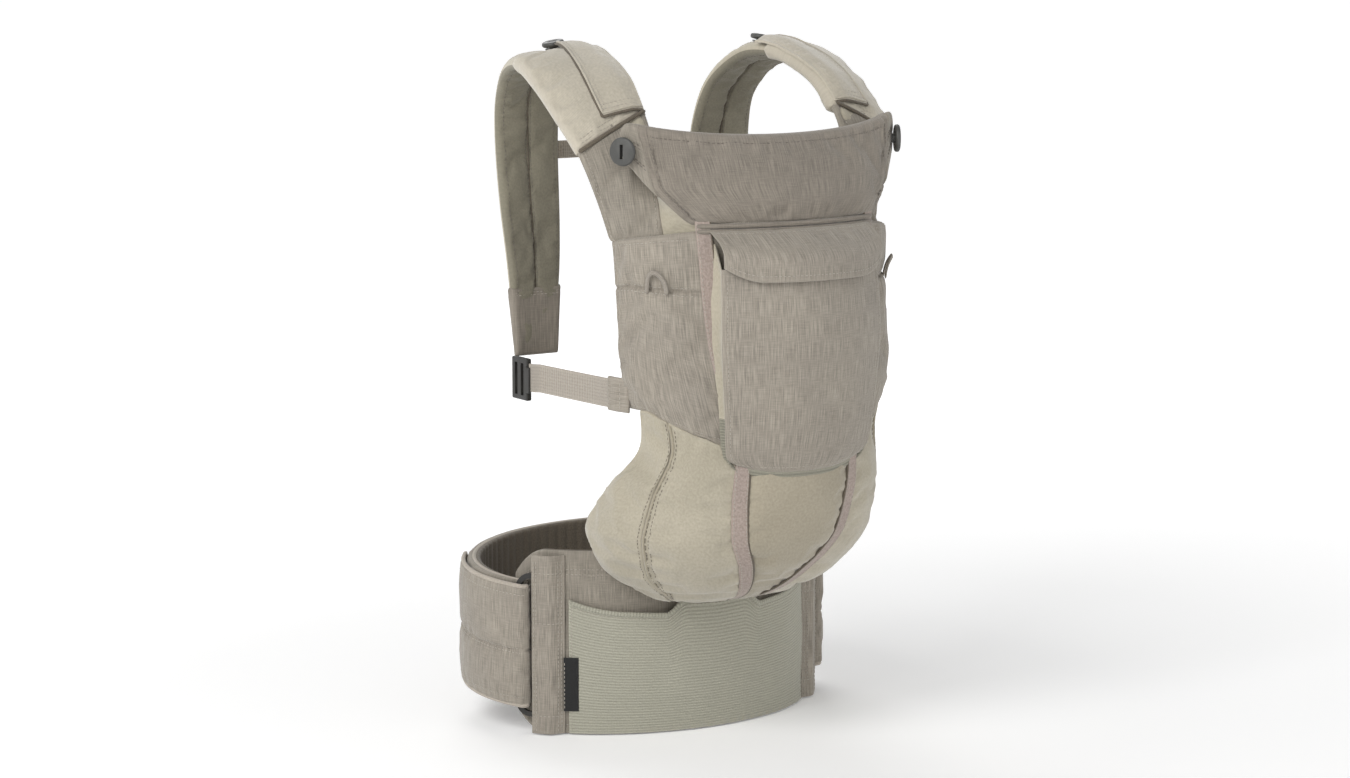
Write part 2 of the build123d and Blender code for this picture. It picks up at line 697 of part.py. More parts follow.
def side_webbing():
    """Flat webbing from the side wing's rear edge to the ladder lock."""
    front_y = wall_point(POUCH, SIDE_WING_REAR, 356.0, 0.0).Y + SIDE_WEBBING_FRONT_GAP
    rear_y = LOCK_CENTRE[1] - LOCK_SIZE[1] / 2.0 - SIDE_WEBBING_REAR_GAP
    length = rear_y - front_y
    strip = rounded_box(SIDE_WEBBING_THICKNESS, length, SIDE_WEBBING_HEIGHT, 1.0)
    middle_x = LOCK_CENTRE[0] - SIDE_WEBBING_THICKNESS / 2.0
    middle = (middle_x, (front_y + rear_y) / 2.0, SIDE_WEBBING_LEVEL)
    return Location(middle) * strip


def build_strap_ends():
    """Ladder locks and side webbing."""
    lock = ladder_lock()
    webbing = side_webbing()
    for name, side in SIDES:
        write(mirrored(lock, side), "ladder_lock_" + name)
        write(mirrored(webbing, side), "side_webbing_" + name)


# Buckles

def buckle_socket(size_x, size_y, size_z):
    """Socket half of a side-release buckle; its mouth looks along +X from x = 0."""
    body = Location((-size_x / 2.0, 0.0, 0.0)) * rounded_box(size_x, size_y, size_z, 2.0)
    cave_x = size_x * 0.68
    body -= Location((-cave_x / 2.0, 0.0, 0.0)) * Box(cave_x + 0.2, size_y - BUCKLE_WALL, size_z - 2.0 * BUCKLE_WALL)
    window = Box(size_x * 0.3, size_y - BUCKLE_WALL, size_z + 2.0)
    body -= Location((-size_x * 0.42, 0.0, 0.0)) * window
    slot = Box(BUCKLE_SLOT, size_y + 2.0, size_z - 10.0)
    return body - Location((-size_x + 5.2, 0.0, 0.0)) * slot


def buckle_plug(size_x, size_y, size_z):
    """Plug half without its two arms: a cross bar, a webbing slot and a guide tongue."""
    depth = size_y - 5.0
    body = Location((size_x * 0.28 + 0.6, 0.0, 0.0)) * rounded_box(size_x * 0.5, size_y - 2.0, size_z, 2.0)
    slot = Box(BUCKLE_SLOT, size_y + 2.0, size_z - 10.0)
    body -= Location((size_x * 0.53 - 4.0, 0.0, 0.0)) * slot
    tongue = Location((-size_x * 0.26, 0.0, 0.0)) * Box(size_x * 0.7, depth, size_z * 0.12)
    return body + tongue


def buckle_arm(size_x, size_y, size_z):
    """Upper springy arm of the plug, with the tip that fills the socket's window."""
    depth = size_y - 5.0
    root_z = size_z * 0.24
    tip_z = size_z * 0.5 - 1.2
    outline = [
        (0.8, root_z - 2.5), (0.8, root_z + 2.5), (-size_x * 0.27, root_z + 2.5),
        (-size_x * 0.30, tip_z), (-size_x * 0.50, tip_z), (-size_x * 0.60, root_z + 1.5),
        (-size_x * 0.60, root_z - 1.0), (-size_x * 0.30, root_z + 0.5),
    ]
    flat = make_face(Polyline(*outline, close=True))
    arm = extrude(flat, depth / 2.0, both=True)
    return Location((0.0, 0.0, 0.0), (90.0, 0.0, 0.0)) * arm


def write_buckle(prefix, size, spot, socket_name, plug_name):
    """Write the four pieces of a side-release buckle at a place."""
    write(Location(spot) * buckle_socket(*size), prefix + socket_name)
    write(Location(spot) * buckle_plug(*size), prefix + plug_name)
    arm = buckle_arm(*size)
    write(Location(spot) * arm, prefix + "_arm_upper")
    write(Location(spot) * arm.mirror(Plane.XY), prefix + "_arm_lower")


def waist_webbing(side):
    """Webbing from a wing's outer face to its half of the waist buckle."""
    size_x = WAIST_BUCKLE[0]
    inner_x = size_x + 0.8 if side < 0 else size_x * 0.53 + 1.5
    outer = []
    inner = []
    near_out, far_out = (WING_OUT + lift for lift in reversed(WAIST_WEBBING_OUT))
    half = WAIST_WEBBING_HALF_THICK
    straight = ((inner_x + 18.0, WAIST_BUCKLE_Y - 2.5), (inner_x, WAIST_BUCKLE_Y))
    for offset in (-WAIST_WEBBING_HALF, WAIST_WEBBING_HALF):
        height = WAIST_BUCKLE_Z + offset
        line = []
        line_inner = []
        for angle in WAIST_WEBBING_ANGLES:
            line.append(belt_point(angle, height, far_out))
            line_inner.append(belt_point(angle, height, near_out))
        for across, depth in straight:
            line.append(Vector(across, depth + half, height))
            line_inner.append(Vector(across, depth - half, height))
        outer.append(line)
        inner.append(line_inner)
    return mirrored(slab(outer, inner), side)


def chest_slider():
    """Clip that holds the chest strap to a shoulder strap and slides along it."""
    clip = rounded_box(*CHEST_SLIDER, 1.5)
    slot = Box(*CHEST_SLIDER_SLOT)
    for offset in (CHEST_SLIDER_SLOT_STEP, -CHEST_SLIDER_SLOT_STEP):
        clip -= Location((0.0, 0.0, offset)) * slot
    return Location((CHEST_SLIDER_X, CHEST_BUCKLE_Y + 1.5, CHEST_BUCKLE_Z)) * clip


def chest_webbing(side):
    """Short webbing between a slider and the chest buckle."""
    start = CHEST_BUCKLE[0] + 0.6 if side < 0 else CHEST_BUCKLE[0] * 0.53 + 1.4
    length = CHEST_WEBBING_END - start
    strip = rounded_box(length, CHEST_WEBBING_THICKNESS, CHEST_WEBBING_HEIGHT, 0.8)
    placed = Location((start + length / 2.0, CHEST_BUCKLE_Y, CHEST_BUCKLE_Z)) * strip
    return mirrored(placed, side)


def build_buckles():
    """Waist buckle and chest strap, both at the wearer's back."""
    waist_spot = (0.0, WAIST_BUCKLE_Y, WAIST_BUCKLE_Z)
    write_buckle("waist_buckle", WAIST_BUCKLE, waist_spot, "_socket", "_plug")
    chest_spot = (0.0, CHEST_BUCKLE_Y, CHEST_BUCKLE_Z)
    write_buckle("chest_buckle", CHEST_BUCKLE, chest_spot, "_socket", "_plug")
    slider = chest_slider()
    for name, side in SIDES:
        write(waist_webbing(side), "waist_webbing_" + name)
        write(mirrored(slider, side), "chest_slider_" + name)
        write(chest_webbing(side), "chest_webbing_" + name)


build_belt()
build_pouch()
build_pocket()
build_headrest()
build_straps()
build_strap_ends()
build_buckles()
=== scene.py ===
import math

import bpy
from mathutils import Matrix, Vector, noise
from mathutils.bvhtree import BVHTree


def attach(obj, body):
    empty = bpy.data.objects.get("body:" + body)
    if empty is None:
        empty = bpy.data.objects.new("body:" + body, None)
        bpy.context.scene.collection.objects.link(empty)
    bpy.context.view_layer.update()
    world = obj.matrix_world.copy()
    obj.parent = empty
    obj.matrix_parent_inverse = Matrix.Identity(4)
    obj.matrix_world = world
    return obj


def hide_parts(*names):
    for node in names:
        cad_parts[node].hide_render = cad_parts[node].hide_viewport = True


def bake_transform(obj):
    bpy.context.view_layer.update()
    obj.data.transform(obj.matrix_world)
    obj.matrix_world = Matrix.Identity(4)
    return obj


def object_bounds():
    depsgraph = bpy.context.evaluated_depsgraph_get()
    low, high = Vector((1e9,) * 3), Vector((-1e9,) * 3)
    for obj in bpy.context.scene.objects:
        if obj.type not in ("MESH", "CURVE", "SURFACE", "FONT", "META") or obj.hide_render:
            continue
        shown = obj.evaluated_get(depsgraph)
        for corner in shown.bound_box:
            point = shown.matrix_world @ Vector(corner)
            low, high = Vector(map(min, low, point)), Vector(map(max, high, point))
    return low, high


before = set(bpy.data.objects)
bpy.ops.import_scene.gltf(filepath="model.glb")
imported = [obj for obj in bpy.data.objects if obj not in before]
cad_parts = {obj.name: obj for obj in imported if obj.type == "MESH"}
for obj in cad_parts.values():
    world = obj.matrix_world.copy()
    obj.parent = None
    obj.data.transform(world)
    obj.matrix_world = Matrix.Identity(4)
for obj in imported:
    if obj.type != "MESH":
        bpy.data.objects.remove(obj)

# Soft baby carrier. Shapes are worked out in millimetres in the row frame and turned
# into metres as each mesh is made. Angles round it start at the front (-Y) and grow
# towards +X. The right side is drawn, and the left side is its mirror.
CAD_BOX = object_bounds()
MM = 0.001
SIDES = (("left", -1.0), ("right", 1.0))
SCENE = bpy.context.scene
SCENE.view_settings.view_transform = "Standard"

# Waist belt
BELT_X = 178.0
BELT_Y = 128.0
BELT_TALL = 184.0
BELT_THICK = 5.0
BELT_ANGLE = 74.0
BELT_SEAMS = (163.0 / BELT_TALL, 0.05)
WING_OUT = 11.5
WING_THICK = 12.0
WING_LOW = 26.0
WING_HIGH = 152.0
WING_REARS = {"left": 186.5, "right": 172.0}
WING_RISE = 0.085
WING_FRONT_OUT = 6.9
WING_FRONT_THICK = 5.0
WING_EASE = 24.0
FOLD_OUT = 18.8
FOLD_THICK = 5.0
FOLD_ANGLES = (66.0, 122.0)
FOLD_STRAIGHT = 0.86
FOLD_SEAM = 0.46
STRIP_ANGLES = (51.5, 63.0)
STRIP_SEAMS = (0.1, 0.62, 0.9)
MESH_ANGLE = 50.0

# Pouch: height, depth of the middle, half width and half depth
POUCH = (
    (136.0, -142.0, 58.0, 22.0), (142.0, -141.0, 78.0, 48.0), (150.0, -140.0, 92.0, 70.0),
    (160.0, -139.0, 108.0, 88.0), (174.0, -141.0, 124.0, 103.0), (194.0, -148.0, 137.0, 115.0),
    (219.0, -156.0, 146.0, 121.0), (256.0, -173.0, 143.0, 114.0), (306.0, -200.0, 130.0, 90.0),
    (356.0, -198.0, 142.0, 92.0), (406.0, -191.0, 147.0, 94.0), (456.0, -188.0, 148.0, 94.0),
    (527.0, -188.0, 148.0, 89.0),
)
STRIP_LINE = (
    (136.0, 8.0), (150.0, 11.0), (174.0, 15.0), (219.0, 23.0), (293.0, 28.0), (406.0, 35.0), (522.0, 39.0),
)
STRIP_HALF = 3.7
STRIP_TUCK = 1.7
GORE_SPLIT = 64.0
GORE_REAR = (
    (136.0, 96.0), (160.0, 106.0), (219.0, 106.0), (256.0, 98.0), (306.0, 88.0), (345.0, 80.0),
)
SEAT_LOW = 136.0
SEAT_SPLIT = 320.0
SEAT_TOP_FRONT = 304.0
SEAT_TOP_SIDE = 341.0
BODY_TOP = 528.0
WING_REAR = 94.0
SIDE_WING_TOP = 497.0
SIDE_BAND = 0.72
SIDE_LOOP_ANGLE = 60.0
SIDE_LOOP_HEIGHT = 455.0

HEADREST = (
    (517.0, -188.0, 150.5, 91.5), (527.0, -188.0, 155.0, 91.0), (560.0, -186.0, 166.0, 82.0),
    (615.0, -183.0, 176.0, 66.0),
)
HEADREST_THICK = 13.0
HEADREST_LOW = 517.0
HEADREST_ANGLES = (44.0, 57.0, 67.0)
HEADREST_SLANT = 19.0
HEADREST_SLANT_TALL = 52.0
HEADREST_SLANT_POWER = 0.85

# Shoulder strap, front to back: outer and inner edge of its top face
STRAP = (
    ((152.0, -184.0, 502.0), (121.0, -232.0, 507.0)), ((165.0, -180.0, 545.0), (114.0, -214.0, 548.0)),
    ((180.0, -174.0, 586.0), (109.0, -192.0, 602.0)), ((184.0, -137.0, 620.0), (108.0, -160.0, 640.0)),
    ((182.0, -94.0, 648.0), (104.0, -122.0, 661.0)), ((174.0, -45.0, 664.0), (98.0, -76.0, 673.0)),
    ((163.0, 4.0, 656.0), (90.0, -28.0, 668.0)), ((154.0, 36.0, 624.0), (83.0, 22.0, 634.0)),
    ((151.0, 44.0, 580.0), (77.0, 42.0, 580.0)), ((150.0, 38.0, 522.0), (78.0, 40.0, 522.0)),
    ((147.0, 31.0, 470.0), (81.0, 34.0, 470.0)), ((145.0, 23.0, 420.0), (88.0, 25.0, 420.0)),
    ((143.0, 14.0, 366.0), (94.0, 16.0, 366.0)),
)
STRAP_THICK = 14.0
STRAP_END_THICK = 7.0
STRAP_LAST = len(STRAP) - 1
STRAP_CROWN = 2.5
BASE_END = 2.0
COVER_END = 5.0

# Front pocket: height, front depth and half width
POCKET = (
    (283.0, -297.0, 64.0), (290.0, -301.5, 75.0), (300.0, -305.5, 80.5), (340.0, -313.0, 85.0),
    (414.0, -319.0, 90.0), (478.0, -313.0, 88.0),
)
POCKET_BOW = 31.0
POCKET_BOW_WIDTH = 90.0
FLAP_TOP = 512.0
FLAP_LOW = 466.0
FLAP_OUT = 6.5

# Webbing: height of the side webbing, depth and height of the two buckles
SIDE_WEBBING_LEVEL = 353.5
WAIST_BUCKLE = (152.0, 105.0)
CHEST_BUCKLE = (52.0, 566.0)

# Meshes: longest step along a seam, corners round a cord, and stitches' length, gap and corners
SEAM_STEP = 5.0
TUBE_SIDES = 8
STITCH_LENGTH = 2.8
STITCH_GAP = 1.5
STITCH_SIDES = 5
UP = Vector((0.0, 0.0, 1.0))


# Shape helpers

def clamp(value):
    return min(1.0, max(0.0, value))


def smooth(value):
    """Eased 0 to 1."""
    value = clamp(value)
    return value * value * (3.0 - 2.0 * value)


def bell(distance, width):
    """1 on a line, falling to 0 a width or two away."""
    return math.exp(-(distance / width) ** 2)


def steps(count):
    """Shares from 0 to 1 in equal steps."""
    return [index / count for index in range(count + 1)]


def table_value(table, height, column):
    """Smooth value of one column of a table at a height, without overshoot."""
    last = len(table) - 1
    index = 0
    while index < last - 1 and height > table[index + 1][0]:
        index += 1

    def rise(place):
        span = table[place + 1][0] - table[place][0]
        return (table[place + 1][column] - table[place][column]) / span

    def slope(place):
        if place == 0:
            return rise(0)
        if place == last:
            return rise(last - 1)
        before, after = rise(place - 1), rise(place)
        return 0.0 if before * after <= 0.0 else 2.0 * before * after / (before + after)

    low, high = table[index], table[index + 1]
    span = high[0] - low[0]
    t = clamp((height - low[0]) / span)
    t2, t3 = t * t, t * t * t
    value = low[column] * (2 * t3 - 3 * t2 + 1) + high[column] * (3 * t2 - 2 * t3)
    return value + span * (slope(index) * (t3 - 2 * t2 + t) + slope(index + 1) * (t3 - t2))


def oval(half_x, half_y, middle_y, angle, height):
    turn = math.radians(angle)
    return Vector((half_x * math.sin(turn), middle_y - half_y * math.cos(turn), height))


def belt_place(angle, height, out):
    return oval(BELT_X + out, BELT_Y + out, 0.0, angle, height)


def wall_place(table, angle, height, out):
    middle, half_x, half_y = (table_value(table, height, column) for column in (1, 2, 3))
    return oval(half_x + out, half_y + out, middle, angle, height)


def pouch_depth(across, height, out):
    half_x = table_value(POUCH, height, 2) + out
    half_y = table_value(POUCH, height, 3) + out
    drop = math.sqrt(max(0.0, 1.0 - (across / half_x) ** 2))
    return table_value(POUCH, height, 1) - half_y * drop


def ripple(u, v, across, along, seed, height):
    """Soft uneven folds; across and along say how many fit each way."""
    large = noise.noise(Vector((u * across + seed, v * along - seed, seed * 1.7)))
    small = noise.noise(Vector((u * across * 2.3, v * along * 2.1 + seed, 5.0 - seed)))
    return height * (large + 0.4 * small)


def crease(u, v, across, along, seed, height):
    """Sharper valleys between soft rolls, as in gathered cloth."""
    value = noise.noise(Vector((u * across + seed, v * along + seed * 0.6, seed)))
    return height * (0.35 - abs(value) ** 0.6)


def rippled(*shape):
    """Relief that is a ripple and nothing else."""
    return lambda u, v: ripple(u, v, *shape)


def flipped(place, side):
    """The same place on the right (side 1) or mirrored to the left (side -1)."""
    if side > 0:
        return place

    def other(u, v, out):
        spot = place(u, v, out)
        return Vector((-spot.x, spot.y, spot.z))
    return other


# Materials

class Shade:
    """Small helper that builds one procedural material."""

    def __init__(self, name, rough, sheen=0.0, specular=0.3):
        self.material = bpy.data.materials.new(name)
        self.material.use_nodes = True
        self.nodes = self.material.node_tree.nodes
        self.links = self.material.node_tree.links
        self.shader = self.nodes["Principled BSDF"]
        self.shader.inputs["Roughness"].default_value = rough
        self.shader.inputs["Sheen Weight"].default_value = sheen
        self.shader.inputs["Sheen Roughness"].default_value = 0.45
        self.shader.inputs["Specular IOR Level"].default_value = specular
        self.uv = self.nodes.new("ShaderNodeTexCoord").outputs["UV"]
        self.spot = self.nodes.new("ShaderNodeTexCoord").outputs["Object"]

    def put(self, node, index, value):
        """Link a socket, or set a plain value."""
        if isinstance(value, bpy.types.NodeSocket):
            self.links.new(value, node.inputs[index])
        else:
            node.inputs[index].default_value = value

    def maths(self, kind, first, second=0.0):
        node = self.nodes.new("ShaderNodeMath")
        node.operation = kind
        self.put(node, 0, first)
        self.put(node, 1, second)
        return node.outputs[0]

    def scaled(self, source, scale):
        node = self.nodes.new("ShaderNodeVectorMath")
        node.operation = "MULTIPLY"
        self.put(node, 0, source)
        node.inputs[1].default_value = scale
        return node.outputs[0]

    def axis(self, index):
        node = self.nodes.new("ShaderNodeSeparateXYZ")
        self.put(node, 0, self.uv)
        return node.outputs[index]

    def grain(self, source, scale, detail=2.0):
        """Noise from 0 to 1 on a stretched copy of a coordinate."""
        node = self.nodes.new("ShaderNodeTexNoise")
        node.inputs["Scale"].default_value = 1.0
        node.inputs["Detail"].default_value = detail
        self.put(node, 0, self.scaled(source, scale))
        return node.outputs["Fac"]

    def waves(self, index, pitch):
        """Sine from -1 to 1 along one UV direction, with its pitch in millimetres."""
        return self.maths("SINE", self.maths("MULTIPLY", self.axis(index), math.tau / (pitch * MM)))

    def ramp(self, value, low, high, dark, light):
        node = self.nodes.new("ShaderNodeValToRGB")
        self.put(node, 0, value)
        node.color_ramp.elements[0].position = low
        node.color_ramp.elements[0].color = (*dark, 1.0)
        node.color_ramp.elements[1].position = high
        node.color_ramp.elements[1].color = (*light, 1.0)
        return node.outputs["Color"]

    def blend(self, share, first, second, kind="MIX"):
        node = self.nodes.new("ShaderNodeMix")
        node.data_type = "RGBA"
        node.blend_type = kind
        self.put(node, 0, share)
        self.put(node, 6, first)
        self.put(node, 7, second)
        return node.outputs[2]

    def worn(self):
        """The mesh's own mark of how close a point is to an edge or hem; it makes the colour paler there, as wear
        and painted highlight on the rounded rims.
        """
        node = self.nodes.new("ShaderNodeAttribute")
        node.attribute_name = "worn"
        return node.outputs["Fac"]

    def bump(self, height, depth, strength):
        node = self.nodes.new("ShaderNodeBump")
        node.inputs["Distance"].default_value = depth * MM
        node.inputs["Strength"].default_value = strength
        self.links.new(height, node.inputs["Height"])
        self.links.new(node.outputs["Normal"], self.shader.inputs["Normal"])

    def colour(self, value):
        self.links.new(value, self.shader.inputs["Base Color"])

    def cloth(self, colour, base, marks, dark, light, rim_wear_and_highlight):
        """Mottled base colour, paler towards its edges and hems: wear, and painted highlight on the rounded rims.
        """
        mottled = self.blend(1.0, base, self.ramp(marks, 0.3, 0.7, dark, light), "MULTIPLY")
        pale = (*tone(colour, 1.3), 1.0)
        self.colour(self.blend(self.maths("MULTIPLY", self.worn(), rim_wear_and_highlight), mottled, pale))


def tone(colour, factor):
    return tuple(channel * factor for channel in colour)


def melange(name, colour, contrast=0.24, streak=(1150.0, 46.0, 1.0), pitch=1.0):
    """Woven fabric of mixed light and dark yarns, with slubs that run one way."""
    shade = Shade(name, 0.9, 0.25, 0.2)
    weft = shade.grain(shade.uv, (streak[1] * 1.6, streak[0] * 1.2, 1.0), 2.0)
    warp = shade.grain(shade.uv, streak, 4.0)
    slub = shade.maths("ADD", shade.maths("MULTIPLY", warp, 0.72), shade.maths("MULTIPLY", weft, 0.28))
    base = shade.ramp(slub, 0.38, 0.62, tone(colour, 1.0 - contrast), tone(colour, 1.0 + contrast))
    cloud = shade.grain(shade.spot, (16.0, 16.0, 16.0))
    shade.cloth(colour, base, cloud, (0.94, 0.94, 0.94), (1.05, 1.05, 1.04), 0.2)
    weave = shade.maths("MULTIPLY", shade.waves(0, pitch), shade.waves(1, pitch))
    shade.bump(shade.maths("ADD", shade.maths("MULTIPLY", weave, 0.5), slub), 0.5, 0.35)
    return shade.material


def knit(name, colour, pitch=1.3):
    """Soft fine knit with upright wales and a light bloom."""
    shade = Shade(name, 0.82, 0.45, 0.2)
    mottle = shade.grain(shade.uv, (420.0, 300.0, 1.0), 3.0)
    base = shade.ramp(mottle, 0.3, 0.7, tone(colour, 0.9), tone(colour, 1.1))
    cloud = shade.grain(shade.spot, (14.0, 14.0, 14.0))
    shade.cloth(colour, base, cloud, (0.92, 0.92, 0.91), (1.06, 1.06, 1.06), 0.3)
    wale = shade.maths("ABSOLUTE", shade.waves(0, 2.0 * pitch))
    loop = shade.maths("MULTIPLY", shade.waves(1, pitch * 0.8), 0.4)
    shade.bump(shade.maths("ADD", wale, loop), 0.4, 0.3)
    return shade.material


def ribbed(name, colour, pitch, index, gap, rough=0.75, depth=0.5, cross=0.0):
    """Cloth with fine ribs along one direction: stretch mesh, webbing or elastic."""
    shade = Shade(name, rough, 0.2, 0.3)
    ribs = shade.waves(index, pitch)
    if cross:
        ribs = shade.maths("ADD", ribs, shade.maths("MULTIPLY", shade.waves(1 - index, cross), 0.5))
    level = shade.maths("ADD", shade.maths("MULTIPLY", ribs, 0.4), 0.5)
    base = shade.ramp(level, 0.0, 1.0, tone(colour, gap), tone(colour, 1.12))
    speck = shade.grain(shade.uv, (700.0, 500.0, 1.0))
    shade.cloth(colour, base, speck, (0.88, 0.88, 0.88), (1.1, 1.1, 1.1), 0.3)
    shade.bump(ribs, depth, 0.5)
    return shade.material


def plastic(name, colour, rough):
    """Moulded plastic with a fine satin grain and a few soft scuffs."""
    shade = Shade(name, rough, 0.0, 0.45)
    scuff = shade.grain(shade.spot, (60.0, 60.0, 60.0), 4.0)
    shade.colour(shade.ramp(scuff, 0.45, 0.8, colour, tone(colour, 1.7)))
    worn = shade.ramp(scuff, 0.35, 0.75, (rough,) * 3, (rough + 0.2,) * 3)
    shade.links.new(worn, shade.shader.inputs["Roughness"])
    shade.bump(shade.grain(shade.spot, (2600.0, 2600.0, 2600.0), 1.0), 0.08, 0.25)
    return shade.material


def thread(name, colour):
    """Sewing thread, twisted."""
    shade = Shade(name, 0.6, 0.3, 0.3)
    twist = shade.grain(shade.spot, (900.0, 900.0, 900.0))
    shade.colour(shade.ramp(twist, 0.3, 0.7, tone(colour, 0.85), tone(colour, 1.1)))
    shade.bump(twist, 0.2, 0.3)
    return shade.material


MELANGE = melange("melange", (0.262, 0.236, 0.198))
# Darker copy of the melange: painted shade on the headrest, which is the same cloth as its loops; the top piping
# and the strap ends use it too.
MELANGE_DARK = melange("melange_dark", (0.226, 0.2, 0.168))
MELANGE_LIGHT = melange("melange_light", (0.292, 0.262, 0.221), 0.26)
TAN = knit("tan_knit", (0.4, 0.363, 0.285))
# Darker copy of the tan knit: painted shade on the seat's middle panel, recessed between the strips under the
# pocket; the gore seam piping uses it too.
TAN_SHADE = knit("tan_knit_shaded", (0.34, 0.302, 0.23))
TAN_PALE = knit("tan_knit_cover", (0.43, 0.392, 0.32))
MAUVE = melange("mauve_strip", (0.335, 0.275, 0.243), 0.18, (500.0, 300.0, 1.0), 1.2)
STRAP_LINING = melange("strap_lining", (0.2, 0.184, 0.14), 0.1, (500.0, 400.0, 1.0))
# Dark lining cloth; it also colours the thin dark tubes painted as shadow beside the strips and under the strap
# covers.
LINING_AND_SHADOW = melange("belt_lining_and_shadow", (0.125, 0.105, 0.08), 0.22, (800.0, 500.0, 1.0))
MESH = ribbed("stretch_mesh", (0.345, 0.335, 0.272), 3.1, 1, 0.8, depth=0.3)
MESH_DARK = ribbed("stretch_mesh_gusset", (0.25, 0.24, 0.19), 3.0, 1, 0.68)
WEBBING = ribbed("flat_webbing", (0.36, 0.32, 0.27), 1.8, 1, 0.8, cross=3.2)
ELASTIC = ribbed("elastic_tape", (0.33, 0.295, 0.25), 1.4, 0, 0.7)
BINDING = melange("binding", (0.42, 0.375, 0.32), 0.12, (500.0, 500.0, 1.0))
PLASTIC = plastic("dark_plastic", (0.022, 0.021, 0.019), 0.42)
BUTTON_PLASTIC = plastic("button_plastic", (0.06, 0.06, 0.056), 0.4)
THREAD = thread("thread_pale", (0.4, 0.365, 0.31))
THREAD_DARK = thread("thread_dark", (0.14, 0.12, 0.1))
BLANK = ribbed("blank_label", (0.012, 0.012, 0.012), 0.8, 1, 0.8, 0.6)


# Mesh helpers

def mesh_object(name, points, faces, materials, nodes=(), body="carrier"):
    """New smooth mesh object from points in millimetres, riding on a body."""
    mesh = bpy.data.meshes.new(name)
    mesh.from_pydata([point * MM for point in points], [], faces)
    mesh.polygons.foreach_set("use_smooth", [True] * len(mesh.polygons))
    for material in materials:
        mesh.materials.append(material)
    piece = bpy.data.objects.new(name, mesh)
    SCENE.collection.objects.link(piece)
    if nodes:
        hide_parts(*nodes)
    if body:
        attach(piece, body)
    return piece


def places(count, length, rim, marks=()):
    """Shares from 0 to 1 along a side, closer together at the rims and at sewn lines."""
    found = {0.0, 1.0}
    for share in (0.12, 0.4, 0.75, 1.2):
        offset = share * rim / length
        found.add(offset)
        found.add(1.0 - offset)
    for mark in marks:
        for offset in (-3.2, -1.5, 0.0, 1.5, 3.2):
            found.add(mark + offset / length)
    fixed = sorted(value for value in found if 0.0 <= value <= 1.0)
    gap = 0.45 / count
    for index in range(1, count):
        share = index / count
        if all(abs(share - other) > gap for other in fixed):
            found.add(share)
    return sorted(value for value in found if 0.0 <= value <= 1.0)


def run_length(spots):
    return sum((after - before).length for before, after in zip(spots, spots[1:]))


